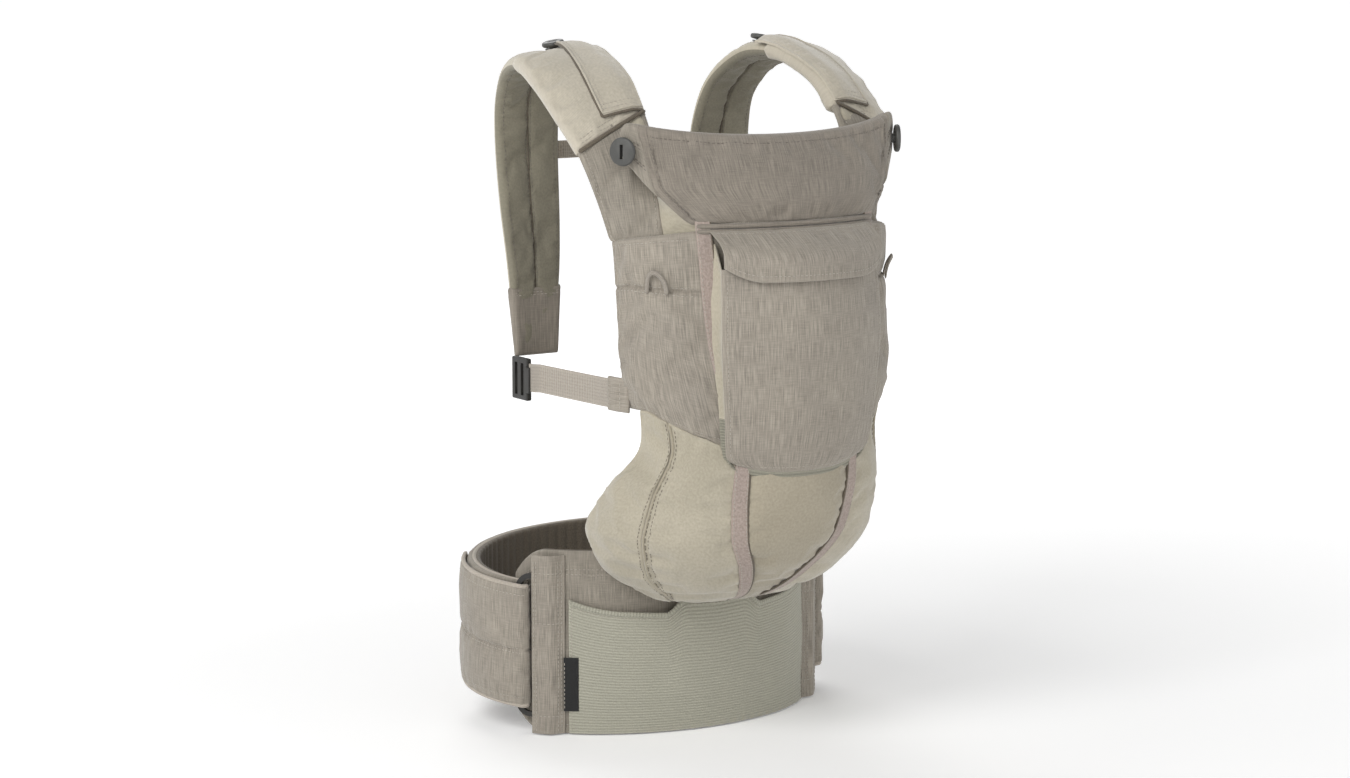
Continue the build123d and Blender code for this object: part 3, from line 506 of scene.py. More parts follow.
class Quilt:
    """Closed padded panel over place(u, v, out), with round rims and sewn valleys.

    materials is one material, or a pair for the front and the back.
    """

    def __init__(self, name, place, thick, materials, nodes=(), relief=None, back=None, count=(40, 30),
                 rim=None, marks_u=(), marks_v=(), dip=1.2, puff=None, through=False, fill=None,
                 body="carrier", ride=True):
        self.place, self.thick, self.dip = place, thick, dip
        self.relief = relief
        self.back = (lambda u, v: -relief(u, v)) if through else back
        self.marks_u, self.marks_v = marks_u, marks_v
        self.rim = rim or thick / 2.0
        self.wide = run_length([place(u, 0.5, 0.0) for u in steps(16)])
        self.tall = run_length([place(0.5, v, 0.0) for v in steps(16)])
        across_shares = places(count[0], self.wide, self.rim, marks_u)
        upward_shares = places(count[1], self.tall, self.rim, marks_v)
        columns, rows = len(across_shares), len(upward_shares)
        outer = [(u, v) for v in upward_shares for u in across_shares]
        inner = [(u, v) for v in upward_shares[1:-1] for u in across_shares[1:-1]]
        shares = outer + inner
        points = [self.spot(u, v, 1) for u, v in outer] + [self.spot(u, v, -1) for u, v in inner]

        def front_at(column, row):
            return row * columns + column

        def back_at(column, row):
            if column in (0, columns - 1) or row in (0, rows - 1):
                return front_at(column, row)
            return columns * rows + (row - 1) * (columns - 2) + column - 1

        faces = []
        turn = -1 if self.turned() else 1
        for row in range(rows - 1):
            for column in range(columns - 1):
                ring = ((column, row), (column + 1, row), (column + 1, row + 1), (column, row + 1))
                faces.append([front_at(*spot) for spot in ring][::turn])
                faces.append([back_at(*spot) for spot in ring][::-turn])
        if not isinstance(materials, tuple):
            materials = (materials,)
        self.object = mesh_object(name, points, faces, materials, nodes, body if ride and not puff else None)
        mesh = self.object.data
        if len(materials) > 1:
            mesh.polygons.foreach_set("material_index", [0, 1] * (len(faces) // 2))
        layer = mesh.uv_layers.new(name="UVMap")
        for corner in mesh.loops:
            u, v = shares[corner.vertex_index]
            layer.data[corner.index].uv = (u * self.wide * MM, v * self.tall * MM)
        # Closeness to the outline; the materials make the colour paler there, as wear and painted highlight on the
        # rounded rims.
        worn = mesh.attributes.new("worn", "FLOAT", "POINT")
        worn.data.foreach_set("value", [self.rim_closeness(u, v) for u, v in shares])
        if puff:
            inflate(self.object, [index for index, (u, v) in enumerate(shares) if self.sewn(u, v)], *puff)
            if ride:
                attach(self.object, body)
        self.tree = None

    def turned(self):
        """True if the front's faces have to be wound the other way to look outwards."""
        middle = self.place(0.5, 0.5, 0.0)
        across = self.place(0.51, 0.5, 0.0) - middle
        upward = self.place(0.5, 0.51, 0.0) - middle
        outward = self.place(0.5, 0.5, 1.0) - middle
        return across.cross(upward).dot(outward) < 0.0

    def edge(self, u, v):
        """Distance to the nearest side, in millimetres, each way."""
        return min(u, 1.0 - u) * self.wide, min(v, 1.0 - v) * self.tall

    def full(self, u, v):
        """0 on the panel's outline, 1 where it has its whole thickness."""
        share = 1.0
        for distance in self.edge(u, v):
            near = 1.0 - clamp(distance / self.rim)
            share *= math.sqrt(max(0.0, 1.0 - near * near))
        return share

    def valley(self, u, v):
        """Depth of the sewn valleys at a point."""
        deep = max((bell((u - mark) * self.wide, 2.2) for mark in self.marks_u), default=0.0)
        deep = max(deep, max((bell((v - mark) * self.tall, 2.2) for mark in self.marks_v), default=0.0))
        return self.dip * deep

    # Closeness to an edge or hem, 1 on it: drives the paler rims, which are wear and painted highlight.
    def rim_closeness(self, u, v):
        return max(bell(distance, 1.6 * self.rim + 1.0) for distance in self.edge(u, v))

    def sewn(self, u, v):
        """True on the outline and along the sewn lines."""
        if min(self.edge(u, v)) < 0.5 * self.rim:
            return True
        if any(abs(u - mark) * self.wide < 0.8 for mark in self.marks_u):
            return True
        return any(abs(v - mark) * self.tall < 0.8 for mark in self.marks_v)

    def spot(self, u, v, face):
        half = 0.5 * self.thick
        share = self.full(u, v)
        shape = self.relief if face > 0 else self.back
        lift = shape(u, v) if shape else 0.0
        return self.place(u, v, -half + face * share * (half + lift - self.valley(u, v)))

    def surface(self, u, v, face=1, lift=0.0):
        """Point and outward direction on the finished mesh near (u, v)."""
        if self.tree is None:
            mesh = self.object.data
            self.tree = BVHTree.FromPolygons(
                [vertex.co.copy() for vertex in mesh.vertices],
                [tuple(polygon.vertices) for polygon in mesh.polygons],
            )
        spot = self.spot(u, v, face) * MM
        found, normal, _, _ = self.tree.find_nearest(spot)
        return found / MM + normal * lift, normal


def inflate(piece, held, cap, grow):
    """Blow a closed panel up as cloth with its seams held, then keep the result."""
    start = [vertex.co.copy() for vertex in piece.data.vertices]
    group = piece.vertex_groups.new(name="sewn")
    group.add(held, 1.0, "REPLACE")
    cloth = piece.modifiers.new("Cloth", "CLOTH")
    settings = cloth.settings
    settings.quality = 4
    settings.mass = 0.25
    settings.tension_stiffness = 12.0
    settings.compression_stiffness = 12.0
    settings.shear_stiffness = 4.0
    settings.bending_stiffness = 0.6
    settings.use_pressure = True
    settings.uniform_pressure_force = 4.0
    settings.vertex_group_mass = "sewn"
    settings.shrink_min = -grow
    settings.effector_weights.gravity = 0.0
    for number in range(1, 21):
        SCENE.frame_set(number)
    graph = bpy.context.evaluated_depsgraph_get()
    result = piece.evaluated_get(graph).to_mesh()
    limit = cap * MM
    for vertex, before, after in zip(piece.data.vertices, start, result.vertices):
        step = after.co - before
        if step.length > limit:
            step *= limit / step.length
        vertex.co = before + step
    piece.evaluated_get(graph).to_mesh_clear()
    piece.modifiers.remove(cloth)
    piece.vertex_groups.clear()
    SCENE.frame_set(1)


def ring_faces(first, rings, sides):
    """Faces of a closed cord of rings of points, from the first point's number."""
    faces = []
    for ring in range(rings - 1):
        low, high = first + ring * sides, first + (ring + 1) * sides
        for index in range(sides):
            after = (index + 1) % sides
            faces.append((low + index, low + after, high + after, high + index))
    faces.append(tuple(first + index for index in range(sides))[::-1])
    faces.append(tuple(first + (rings - 1) * sides + index for index in range(sides)))
    return faces


def dashes(name, lines, material=THREAD, body="carrier", thick=0.36):
    """Stitches along lines of (point, normal), as one mesh of small rounded dashes."""
    points, faces = [], []
    rings = ((0.0, 0.35), (0.16, 1.0), (0.84, 1.0), (1.0, 0.35))
    for line in lines:
        far = [0.0]
        for (before, _), (after, _) in zip(line, line[1:]):
            far.append(far[-1] + (after - before).length)

        def at(distance):
            index = 0
            while index < len(far) - 2 and far[index + 1] < distance:
                index += 1
            share = clamp((distance - far[index]) / max(1e-6, far[index + 1] - far[index]))
            return line[index][0].lerp(line[index + 1][0], share), line[index][1]

        start = 0.5 * STITCH_GAP
        while start + STITCH_LENGTH < far[-1]:
            head, normal = at(start)
            tail, _ = at(start + STITCH_LENGTH)
            side = (tail - head).normalized().cross(normal).normalized()
            faces += ring_faces(len(points), len(rings), STITCH_SIDES)
            for share, size in rings:
                middle = head.lerp(tail, share) + normal * (0.25 * thick * (size - 1.0) + 0.1)
                for index in range(STITCH_SIDES):
                    turn = math.tau * index / STITCH_SIDES
                    way = side * math.cos(turn) + normal * math.sin(turn) * 0.8
                    points.append(middle + way * thick * size)
            start += STITCH_LENGTH + STITCH_GAP
    return mesh_object(name, points, faces, [material], body=body)


def seam(quilt, shares, face, lift):
    """Points along a list of (u, v) on a quilt's surface, for dashes or piping."""
    return [quilt.surface(u, v, face, lift) for u, v in shares]


def across(quilt, v, span=(0.0, 1.0), face=1, lift=0.1):
    low, long = span[0], span[1] - span[0]
    number = max(8, int(quilt.wide * long / SEAM_STEP))
    return seam(quilt, [(low + long * share, v) for share in steps(number)], face, lift)


def upward(quilt, u, span=(0.0, 1.0), face=1, lift=0.1):
    low, long = span[0], span[1] - span[0]
    number = max(8, int(quilt.tall * long / SEAM_STEP))
    return seam(quilt, [(u, low + long * share) for share in steps(number)], face, lift)


def piping(name, line, radius, material, flat=0.8, nodes=()):
    """Cord, rolled edge or binding along points of (point, normal); flat scales its normal side."""
    points, shares = [], []
    far = 0.0
    last = len(line) - 1
    for index, (spot, normal) in enumerate(line):
        along = (line[min(index + 1, last)][0] - line[max(index - 1, 0)][0]).normalized()
        if index:
            far += (spot - line[index - 1][0]).length
        side = along.cross(normal).normalized()
        upright = side.cross(along).normalized()
        end = 0.55 if index in (0, last) else 1.0
        for number in range(TUBE_SIDES):
            turn = math.tau * number / TUBE_SIDES
            points.append(spot + (side * math.cos(turn) + upright * math.sin(turn) * flat) * radius * end)
            shares.append((number * math.tau * radius / TUBE_SIDES * MM, far * MM))
    piece = mesh_object(name, points, ring_faces(0, len(line), TUBE_SIDES), [material], nodes)
    layer = piece.data.uv_layers.new(name="UVMap")
    for corner in piece.data.loops:
        layer.data[corner.index].uv = shares[corner.vertex_index]


# Waist belt

def front_belt(u, v, out):
    angle = BELT_ANGLE * (2.0 * u - 1.0)
    end = max(0.0, (abs(angle) - 60.0) / (BELT_ANGLE - 60.0))
    drop = 26.0 * end * end
    return belt_place(angle, drop + v * (BELT_TALL - 2.0 * drop), out)


def wing_level(angle, share):
    rise = WING_RISE * (belt_place(angle, 0.0, 0.0).y + 60.0)
    return WING_LOW + rise + share * (WING_HIGH - WING_LOW)


def wing_place(rear, side):
    """Belt wing from the loop to the back; out runs from 0 to minus its whole thickness."""
    front = FOLD_ANGLES[0] + 0.4

    def place(u, v, out):
        angle = front + u * (rear - front)
        ease = smooth((angle - front) / WING_EASE)
        base = WING_FRONT_OUT + ease * (WING_OUT - WING_FRONT_OUT)
        thick = WING_FRONT_THICK + ease * (WING_THICK - WING_FRONT_THICK)
        return belt_place(angle, wing_level(angle, v), base + out * thick / WING_THICK)
    return flipped(place, side)


def fold_place(u, v, out):
    """Wing strap folded back outside the loop; u runs from its sewn end round the bend."""
    first, last = FOLD_ANGLES
    middle = (FOLD_OUT + WING_FRONT_OUT - WING_FRONT_THICK) / 2.0
    if u < FOLD_STRAIGHT:
        angle = last + (first - last) * u / FOLD_STRAIGHT
        lift = FOLD_OUT + out
    else:
        depth = min(1.0, -out / FOLD_THICK)
        turn = math.pi * (u - FOLD_STRAIGHT) / (1.0 - FOLD_STRAIGHT)
        reach = FOLD_OUT - middle - FOLD_THICK * depth
        angle = first - (1.9 - 1.3 * depth) * math.sin(turn)
        lift = middle + reach * math.cos(turn)
    return belt_place(angle, wing_level(angle, 0.02 + 0.95 * v), lift)


def belt_strip_place(u, v, out):
    first, last = STRIP_ANGLES
    angle = first + (last - first) * u
    rise = smooth((angle - first) / 4.5)
    return belt_place(angle, 1.0 + v * (BELT_TALL - 5.0), 2.4 + 9.0 * rise + out)


def label_place(u, v, out):
    return belt_place(46.2 + 5.4 * u, 24.0 + 54.0 * v, 4.2 + out + 1.2 * u)


def mesh_pocket_place(u, v, out):
    """Stretched pocket with a raised tab in the middle of its mouth and pulled-up corners."""
    angle = MESH_ANGLE * (2.0 * u - 1.0)
    bulge = math.cos(math.radians(angle * 90.0 / MESH_ANGLE))
    base = min(1.0, 0.25 + 2.4 * v)
    tab = 17.0 * smooth((17.0 - abs(angle)) / 7.0) * v ** 3
    corner = 9.0 * max(0.0, (abs(angle) - 30.0) / 20.0) ** 2
    height = 1.0 + v * (126.0 - 8.0 * (1.0 - abs(angle) / MESH_ANGLE) + corner) + tab
    return belt_place(angle, height, 2.6 + 9.0 * bulge * base + out)


def build_belt():
    """Front panel and its lining, wings, folded straps, strips, mesh pocket and label."""
    top_seam, low_seam = BELT_SEAMS
    cover = Quilt(
        "belt_front_cover", front_belt, BELT_THICK, MELANGE, ["belt_front_panel"], rippled(14.0, 4.0, 3.1, 0.8),
        count=(90, 34), marks_v=BELT_SEAMS, dip=0.9, fill=0.4,
    )
    lines = [across(cover, v, (0.02, 0.98)) for v in (top_seam - 0.014, top_seam + 0.014, low_seam)]

    def rib(u, v):
        return 0.9 * abs(math.sin(u * math.pi * 42.0)) + ripple(u, v, 20.0, 3.0, 8.2, 0.3)
    Quilt(
        "belt_front_lining_quilt", lambda u, v, out: front_belt(u, v, out - BELT_THICK), BELT_THICK, LINING_AND_SHADOW,
        ["belt_front_lining"], back=rib, count=(252, 12), dip=0.0, fill=0.5,
    )

    for name, side in SIDES:
        place = wing_place(WING_REARS[name], side)
        half = WING_THICK / 2.0
        shell = Quilt(
            "belt_wing_cover_" + name, place, half, MELANGE, ["belt_wing_shell_" + name],
            rippled(16.0, 4.0, 2.4, 0.9), count=(80, 28), marks_v=(0.5,), dip=1.3, puff=(3.0, 0.02), fill=0.6,
        )
        Quilt(
            "belt_wing_quilting_" + name, lambda u, v, out: place(u, v, out - half), half, LINING_AND_SHADOW,
            ["belt_wing_lining_" + name], back=lambda u, v: 1.1 * abs(math.sin(u * math.pi * 30.0)),
            count=(210, 14), dip=0.0, fill=0.6,
        )
        lines += [across(shell, 0.5 + step, (0.01, 0.99)) for step in (0.016, -0.016)]
        for share, end in ((0.985, "top"), (0.015, "low")):
            edge = [(place(u, share, -half), place(u, 0.5, 1.0) - place(u, 0.5, 0.0)) for u in steps(60)]
            piping("belt_wing_piping_%s_%s" % (end, name), edge, 2.6, BINDING, 1.0)

        fold_at = flipped(fold_place, side)
        fold = Quilt(
            "belt_strap_fold_" + name, fold_at, FOLD_THICK, MELANGE_LIGHT, ["belt_foldback_" + name],
            rippled(7.0, 4.0, 4.4, 0.8), count=(60, 34), rim=3.0, marks_v=(FOLD_SEAM,), marks_u=(0.05,), dip=1.4,
            puff=(2.4, 0.02), fill=0.7,
        )
        lines += [across(fold, v, (0.03, 0.9)) for v in (FOLD_SEAM + 0.02, FOLD_SEAM - 0.02, 0.93, 0.07)]
        lines += [upward(fold, u, (0.05, 0.95)) for u in (0.035, 0.06)]
        for share, end in ((1.0, "top"), (0.0, "low")):
            edge = [(fold_at(u, share, -FOLD_THICK / 2.0), fold_at(u, 0.5, 1.0) - fold_at(u, 0.5, 0.0))
                    for u in steps(50)[:48]]
            piping("belt_fold_piping_%s_%s" % (end, name), edge, 2.3, BINDING, 1.0)

        strip = Quilt(
            "belt_loop_holder_" + name, flipped(belt_strip_place, side), 1.8, MELANGE_LIGHT,
            ["belt_strip_" + name], rippled(2.0, 12.0, 1.3, 0.35), count=(16, 60), marks_v=STRIP_SEAMS, dip=0.5,
        )
        lines += [upward(strip, u, (0.01, 0.99)) for u in (0.09, 0.17, 0.83, 0.91)]
        lines += [across(strip, v, (0.06, 0.94)) for v in STRIP_SEAMS]

    label = Quilt("blank_label_left", flipped(label_place, -1.0), 0.9, BLANK, count=(6, 18))
    lines.append(upward(label, 0.93, (0.04, 0.96)))
    mesh = Quilt(
        "belt_mesh_pocket", mesh_pocket_place, 1.6, MESH, ["belt_pocket"], rippled(9.0, 3.0, 6.6, 1.0),
        count=(90, 40), marks_v=(0.93,), dip=0.2, through=True,
    )
    piping("belt_mesh_binding", across(mesh, 0.985, (0.005, 0.995), lift=0.2), 2.4, MESH, 0.6)
    lines.append(across(mesh, 0.95, (0.01, 0.99)))
    lines += [upward(mesh, u, (0.02, 0.97)) for u in (0.012, 0.988)]
    dashes("belt_stitching", lines)


# Pouch

def seat_top(angle):
    share = clamp((abs(angle) - 30.0) / 45.0)
    return SEAT_TOP_FRONT + share * (SEAT_TOP_SIDE - SEAT_TOP_FRONT)


def strip_line(height):
    return table_value(STRIP_LINE, height, 1)


def strip_inner(height):
    return strip_line(height) - STRIP_HALF + STRIP_TUCK


def strip_outer(height):
    return strip_line(height) + STRIP_HALF - STRIP_TUCK


def gore_split(height):
    return GORE_SPLIT


def gore_rear(height):
    return table_value(GORE_REAR, height, 1)


def pouch_panel(left, right, low, high):
    """Panel of the pouch between two lines, as place(u, v, out)."""
    def place(u, v, out):
        guess = low + v * (high(left(low)) - low)
        middle = left(guess) + u * (right(guess) - left(guess))
        height = low + v * (high(middle) - low)
        angle = left(height) + u * (right(height) - left(height))
        return wall_place(POUCH, angle, height, out)
    return place


def seat_folds(u, v):
    low = smooth((0.55 - v) / 0.5)
    return crease(u, v, 7.0, 1.6, 2.2, 2.0 * low) + ripple(u, v, 3.0, 3.0, 1.1, 1.0) - 0.8 * low


def gore_folds(seed):
    def folds(u, v):
        low = smooth((0.6 - v) / 0.5)
        top = smooth((v - 0.8) / 0.2)
        gathers = crease(u, v, 6.0, 1.5, seed, 2.4 * (low + 0.3 * top))
        return gathers + ripple(u, v, 2.6, 3.2, seed, 1.5) - 0.6 * low
    return folds


def body_strip_place(u, v, out):
    height = SEAT_LOW + v * (BODY_TOP - SEAT_LOW)
    angle = strip_line(height) + 0.92 * STRIP_HALF * (2.0 * u - 1.0)
    return wall_place(POUCH, angle, height, 2.0 + out)


def side_wing_place(u, v, out):
    """Side wing from the seat's slanting top edge up, with a hollow rear edge."""
    start = strip_outer(SEAT_TOP_FRONT)
    low = seat_top(start + u * (WING_REAR - start)) - 0.5
    top = SIDE_WING_TOP + 3.0 + 12.0 * (1.0 - u)
    height = low + v * (top - low)
    hollow = 5.0 * math.sin(math.pi * v) * u
    angle = strip_outer(height) + u * (WING_REAR - hollow - strip_outer(height))
    return wall_place(POUCH, angle, height, out)


def side_loop(side):
    """Upright arch of elastic as a list of (point, normal)."""
    middle = wall_place(POUCH, SIDE_LOOP_ANGLE, SIDE_LOOP_HEIGHT, 0.0)
    turn = math.radians(SIDE_LOOP_ANGLE)
    forward = Vector((math.cos(turn), math.sin(turn), 0.0))
    outward = Vector((math.sin(turn), -math.cos(turn), 0.0))
    line = []
    for share in steps(24):
        rise = math.sin(math.pi * share)
        spot = middle + forward * (10.5 * math.cos(math.pi * share)) + UP * (21.0 * rise - 2.0)
        spot += outward * (2.2 + 7.0 * rise * rise)
        line.append((Vector((spot.x * side, spot.y, spot.z)), Vector((outward.x * side, outward.y, 0.25))))
    return line


def build_pouch():
    """Seat, strips, back panel with its top band, side wings and their elastic loops."""
    Quilt(
        "seat_centre_cloth", pouch_panel(lambda z: -strip_inner(z), strip_inner, SEAT_LOW, lambda a: SEAT_SPLIT),
        7.0, TAN_SHADE, ["seat_centre_panel"], seat_folds, count=(40, 56), puff=(4.0, 0.04), fill=0.4,
    )
    back = Quilt(
        "body_back_cloth",
        pouch_panel(lambda z: -strip_inner(z), strip_inner, SEAT_SPLIT - 0.5, lambda a: BODY_TOP), 8.0, MELANGE,
        ["body_back_panel"], rippled(4.0, 4.0, 3.7, 0.9), count=(40, 40), marks_v=(0.925, 0.975), dip=0.9,
        fill=0.4,
    )
    lines, dark = [across(back, v) for v in (0.93, 0.97)], []
    for level, end in ((511.5, "low"), (516.5, "high")):
        spots = [wall_place(POUCH, 41.5 * (2.0 * share - 1.0), level, 1.6) for share in steps(40)]
        row = [(spot, Vector((spot.x, spot.y - 188.0, 0.0)).normalized()) for spot in spots]
        piping("body_top_piping_" + end, row, 2.5, MELANGE_DARK, 1.0)

    for name, side in SIDES:
        front, rear = (Quilt(
            "seat_%s_cloth_%s" % (part, name),
            flipped(pouch_panel(first, second, SEAT_LOW, lambda a: seat_top(a) + 1.0), side), 8.0, TAN,
            ["seat_%s_gore_%s" % (part, name)], gore_folds(seed), count=(34, 50), rim=5.0, marks_u=marks, dip=1.4,
            puff=(5.0, 0.05), fill=0.4,
        ) for part, first, second, seed, marks in (
            ("front", strip_outer, gore_split, 4.1, (0.93,)), ("side", gore_split, gore_rear, 6.3, ())))
        piping("seat_gore_piping_" + name, upward(front, 0.985, (0.02, 0.985), lift=-0.4), 2.0, TAN_SHADE)
        for gore, u in ((front, 0.955), (front, 0.905), (rear, 0.045)):
            dark.append(upward(gore, u, (0.02, 0.98), lift=0.15))

        strip = Quilt(
            "body_strip_cloth_" + name, flipped(body_strip_place, side), 3.4, MAUVE, ["body_strip_" + name],
            rippled(2.0, 14.0, 5.2, 0.5), count=(14, 90), rim=2.2, dip=0.4,
        )
        lines += [upward(strip, u, (0.01, 0.99)) for u in (0.14, 0.86)]
        # Dark tube along the strip's inner edge: painted shadow of the gap beside the strip.
        piping("body_strip_shadow_" + name, upward(strip, 0.02, (0.005, 0.99), lift=-0.3), 1.3, LINING_AND_SHADOW)

        panel = Quilt(
            "side_wing_cloth_" + name, flipped(side_wing_place, side), 6.5, MELANGE_LIGHT, ["side_wing_" + name],
            lambda u, v: crease(u, v, 3.0, 4.0, 7.3, 1.4) + ripple(u, v, 2.2, 3.0, 5.5, 1.6),
            count=(36, 44), rim=4.0, marks_v=(SIDE_BAND,), dip=2.4, puff=(4.5, 0.04), fill=0.4,
        )
        for v in (SIDE_BAND - 0.018, SIDE_BAND + 0.018, 0.03, 0.965):
            lines.append(across(panel, v, (0.02, 0.98), lift=0.15))
        lines.append(upward(panel, 0.955, (0.02, 0.98), lift=0.15))
        piping("side_loop_elastic_" + name, side_loop(side), 2.3, ELASTIC, 0.5, ["side_loop_" + name])
    dashes("body_stitching", lines)
    dashes("seat_stitching", dark, THREAD_DARK)


# Front pocket

def pocket_bow(spread):
    return POCKET_BOW * (spread / POCKET_BOW_WIDTH) ** 2


def pocket_face(u, v, out):
    """Pocket front between its low edge and its mouth, with round lower corners."""
    low, high = POCKET[0][0], POCKET[-1][0]
    height = low + v * (high - low)
    share = 2.0 * u - 1.0
    spread = table_value(POCKET, height, 2) * share
    round_up = 7.0 * (1.0 - clamp(v * 6.0)) ** 2 * abs(share) ** 3
    return Vector((spread, table_value(POCKET, height, 1) + pocket_bow(spread) - out, height + round_up))


def pocket_flap_place(u, v, out):
    """Flap from its sewn edge (v 1) down to its hem (v 0)."""
    share = 2.0 * u - 1.0
    spread = share * (POCKET[-1][2] + 1.5)
    down = 1.0 - v
    corner = 85.0 * max(0.0, abs(share) - 0.6) ** 2
    height = FLAP_TOP - down * (FLAP_TOP - FLAP_LOW - corner)
    lower = table_value(POCKET, FLAP_LOW, 1) + pocket_bow(spread) - FLAP_OUT
    upper = pouch_depth(spread, FLAP_TOP, 4.4)
    ease = math.sin(min(1.0, down * 1.55) * math.pi / 2.0)
    return Vector((spread, upper + ease * (lower - upper) - out, height))


def gusset_place(low, high):
    """Side of the pocket between two heights, hollow between its front and rear edges."""
    def place(u, v, out):
        height = low + v * (high - low)
        edge = table_value(POCKET, height, 2)
        near = table_value(POCKET, height, 1) + pocket_bow(edge) + 1.6
        far = pouch_depth(edge, height, 1.0)
        near += 0.72 * clamp((height - 474.0) / 26.0) * (far - near)
        hollow = 2.6 * math.sin(math.pi * u)
        return Vector((edge - 0.6 - hollow + out, near + u * (far - near), height))
    return place


def pocket_bottom_place(u, v, out):
    share = 2.0 * u - 1.0
    low, depth, half = POCKET[0]
    spread = half * share
    height = low + 7.0 * abs(share) ** 3
    near = depth + pocket_bow(spread) + 1.2
    far = pouch_depth(spread, height - 6.0, 0.6)
    return Vector((spread, near + v * (far - near), height - 6.0 * math.sin(math.pi * v) - out))


def build_pocket():
    """Front wall, two-part gussets, bottom gusset and the flap with its gathered top."""
    def slack(u, v):
        return ripple(u, v, 2.4, 2.2, 9.3, 1.8) + crease(u, v, 2.0, 3.0, 4.7, 1.0)
    front = Quilt(
        "pocket_front_cloth", pocket_face, 2.4, MELANGE_LIGHT, ["pocket_front"], slack, count=(44, 48), rim=2.0,
        through=True,
    )
    lines = [[front.surface(0.02 + 0.96 * share, 0.025) for share in steps(60)]]
    lines += [upward(front, u, (0.02, 0.98)) for u in (0.022, 0.978)]

    for name, side in SIDES:
        Quilt(
            "pocket_gusset_cloth_" + name, flipped(gusset_place(336.0, 500.0), side), 1.6, TAN,
            ["pocket_gusset_" + name], rippled(1.5, 7.0, 2.9, 0.9), count=(12, 40), through=True,
        )
        lower = Quilt(
            "pocket_gusset_mesh_" + name, flipped(gusset_place(286.0, 337.0), side), 1.8, MESH_DARK,
            count=(12, 20),
        )
        lines.append(upward(lower, 0.12, (0.02, 0.98)))
    Quilt("pocket_bottom_mesh", pocket_bottom_place, 1.8, MESH_DARK, count=(40, 10))

    def gathered(u, v):
        top = smooth((v - 0.45) / 0.5)
        return crease(u, v, 15.0, 1.2, 3.3, 2.4 * top) + ripple(u, v, 4.0, 2.0, 6.1, 1.1)
    flap = Quilt(
        "pocket_flap_cloth", pocket_flap_place, 2.4, MELANGE_LIGHT, ["pocket_flap"], gathered, count=(80, 34),
        rim=1.6, through=True, ride=False,
    )
    hem = dashes("flap_stitching", [across(flap, 0.13, (0.02, 0.98))], body="pocket_flap")
    lines.append(across(flap, 0.95, (0.02, 0.98)))
    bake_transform(flap.object)
    dashes("pocket_stitching", lines)


# Headrest

def headrest_side(height):
    """Angle of the headrest's slanting lower side edge at a height."""
    share = clamp((height - HEADREST_LOW) / HEADREST_SLANT_TALL)
    return HEADREST_ANGLES[0] + HEADREST_SLANT * share ** HEADREST_SLANT_POWER


def headrest_top(angle):
    return 599.0 + 13.0 * min(1.0, abs(angle) / 58.0) ** 2 - 16.0 * max(0.0, (abs(angle) - 60.0) / 7.0) ** 2


def headrest_place(u, v, out):
    share = 2.0 * u - 1.0
    guess = HEADREST_LOW + v * (headrest_top(50.0 * share) - HEADREST_LOW)
    angle = share * min(HEADREST_ANGLES[1], headrest_side(guess))
    return wall_place(HEADREST, angle, HEADREST_LOW + v * (headrest_top(angle) - HEADREST_LOW), out)


def headrest_tab_place(u, v, out):
    """Elastic loop from under the headrest's edge to its button."""
    start = HEADREST_ANGLES[1] - 2.5
    angle = start + (HEADREST_ANGLES[2] - start) * u
    share = clamp((angle - HEADREST_ANGLES[0]) / HEADREST_SLANT)
    low = HEADREST_LOW + HEADREST_SLANT_TALL * share ** (1.0 / HEADREST_SLANT_POWER)
    low += 10.0 * max(0.0, (angle - 62.0) / 5.0) ** 2
    return wall_place(HEADREST, angle, low + v * (headrest_top(angle) - low), out - 0.5)


def strap_gusset_place(u, v, out):
    """Tan triangle between a strap's base (u 0) and the headrest's edge (u 1)."""
    base = strap_place(max(0.0, 1.9 * v - 0.3), 0.95, -2.5)
    base += Vector((-3.0, 3.0, -14.0)) * (max(0.0, 0.16 - v) / 0.16)
    height = HEADREST_LOW - 16.0 + 68.0 * v
    if height < HEADREST_LOW:
        head = wall_place(POUCH, strip_line(height) + 0.2 * STRIP_HALF, height, -2.0)
    else:
        head = wall_place(HEADREST, headrest_side(height) - 1.0, height, -4.0)
    return base.lerp(head, u) + Vector((0.4, -0.9, 0.0)) * out


def headrest_folds(u, v):
    side = abs(2.0 * u - 1.0)
    gathers = crease(u, v, 9.0, 1.0, 5.9, smooth((0.35 - v) / 0.3))
    return ripple(u, v, 5.0, 1.6, 2.7, 1.6) + gathers - 1.5 * smooth((side - 0.9) / 0.1)


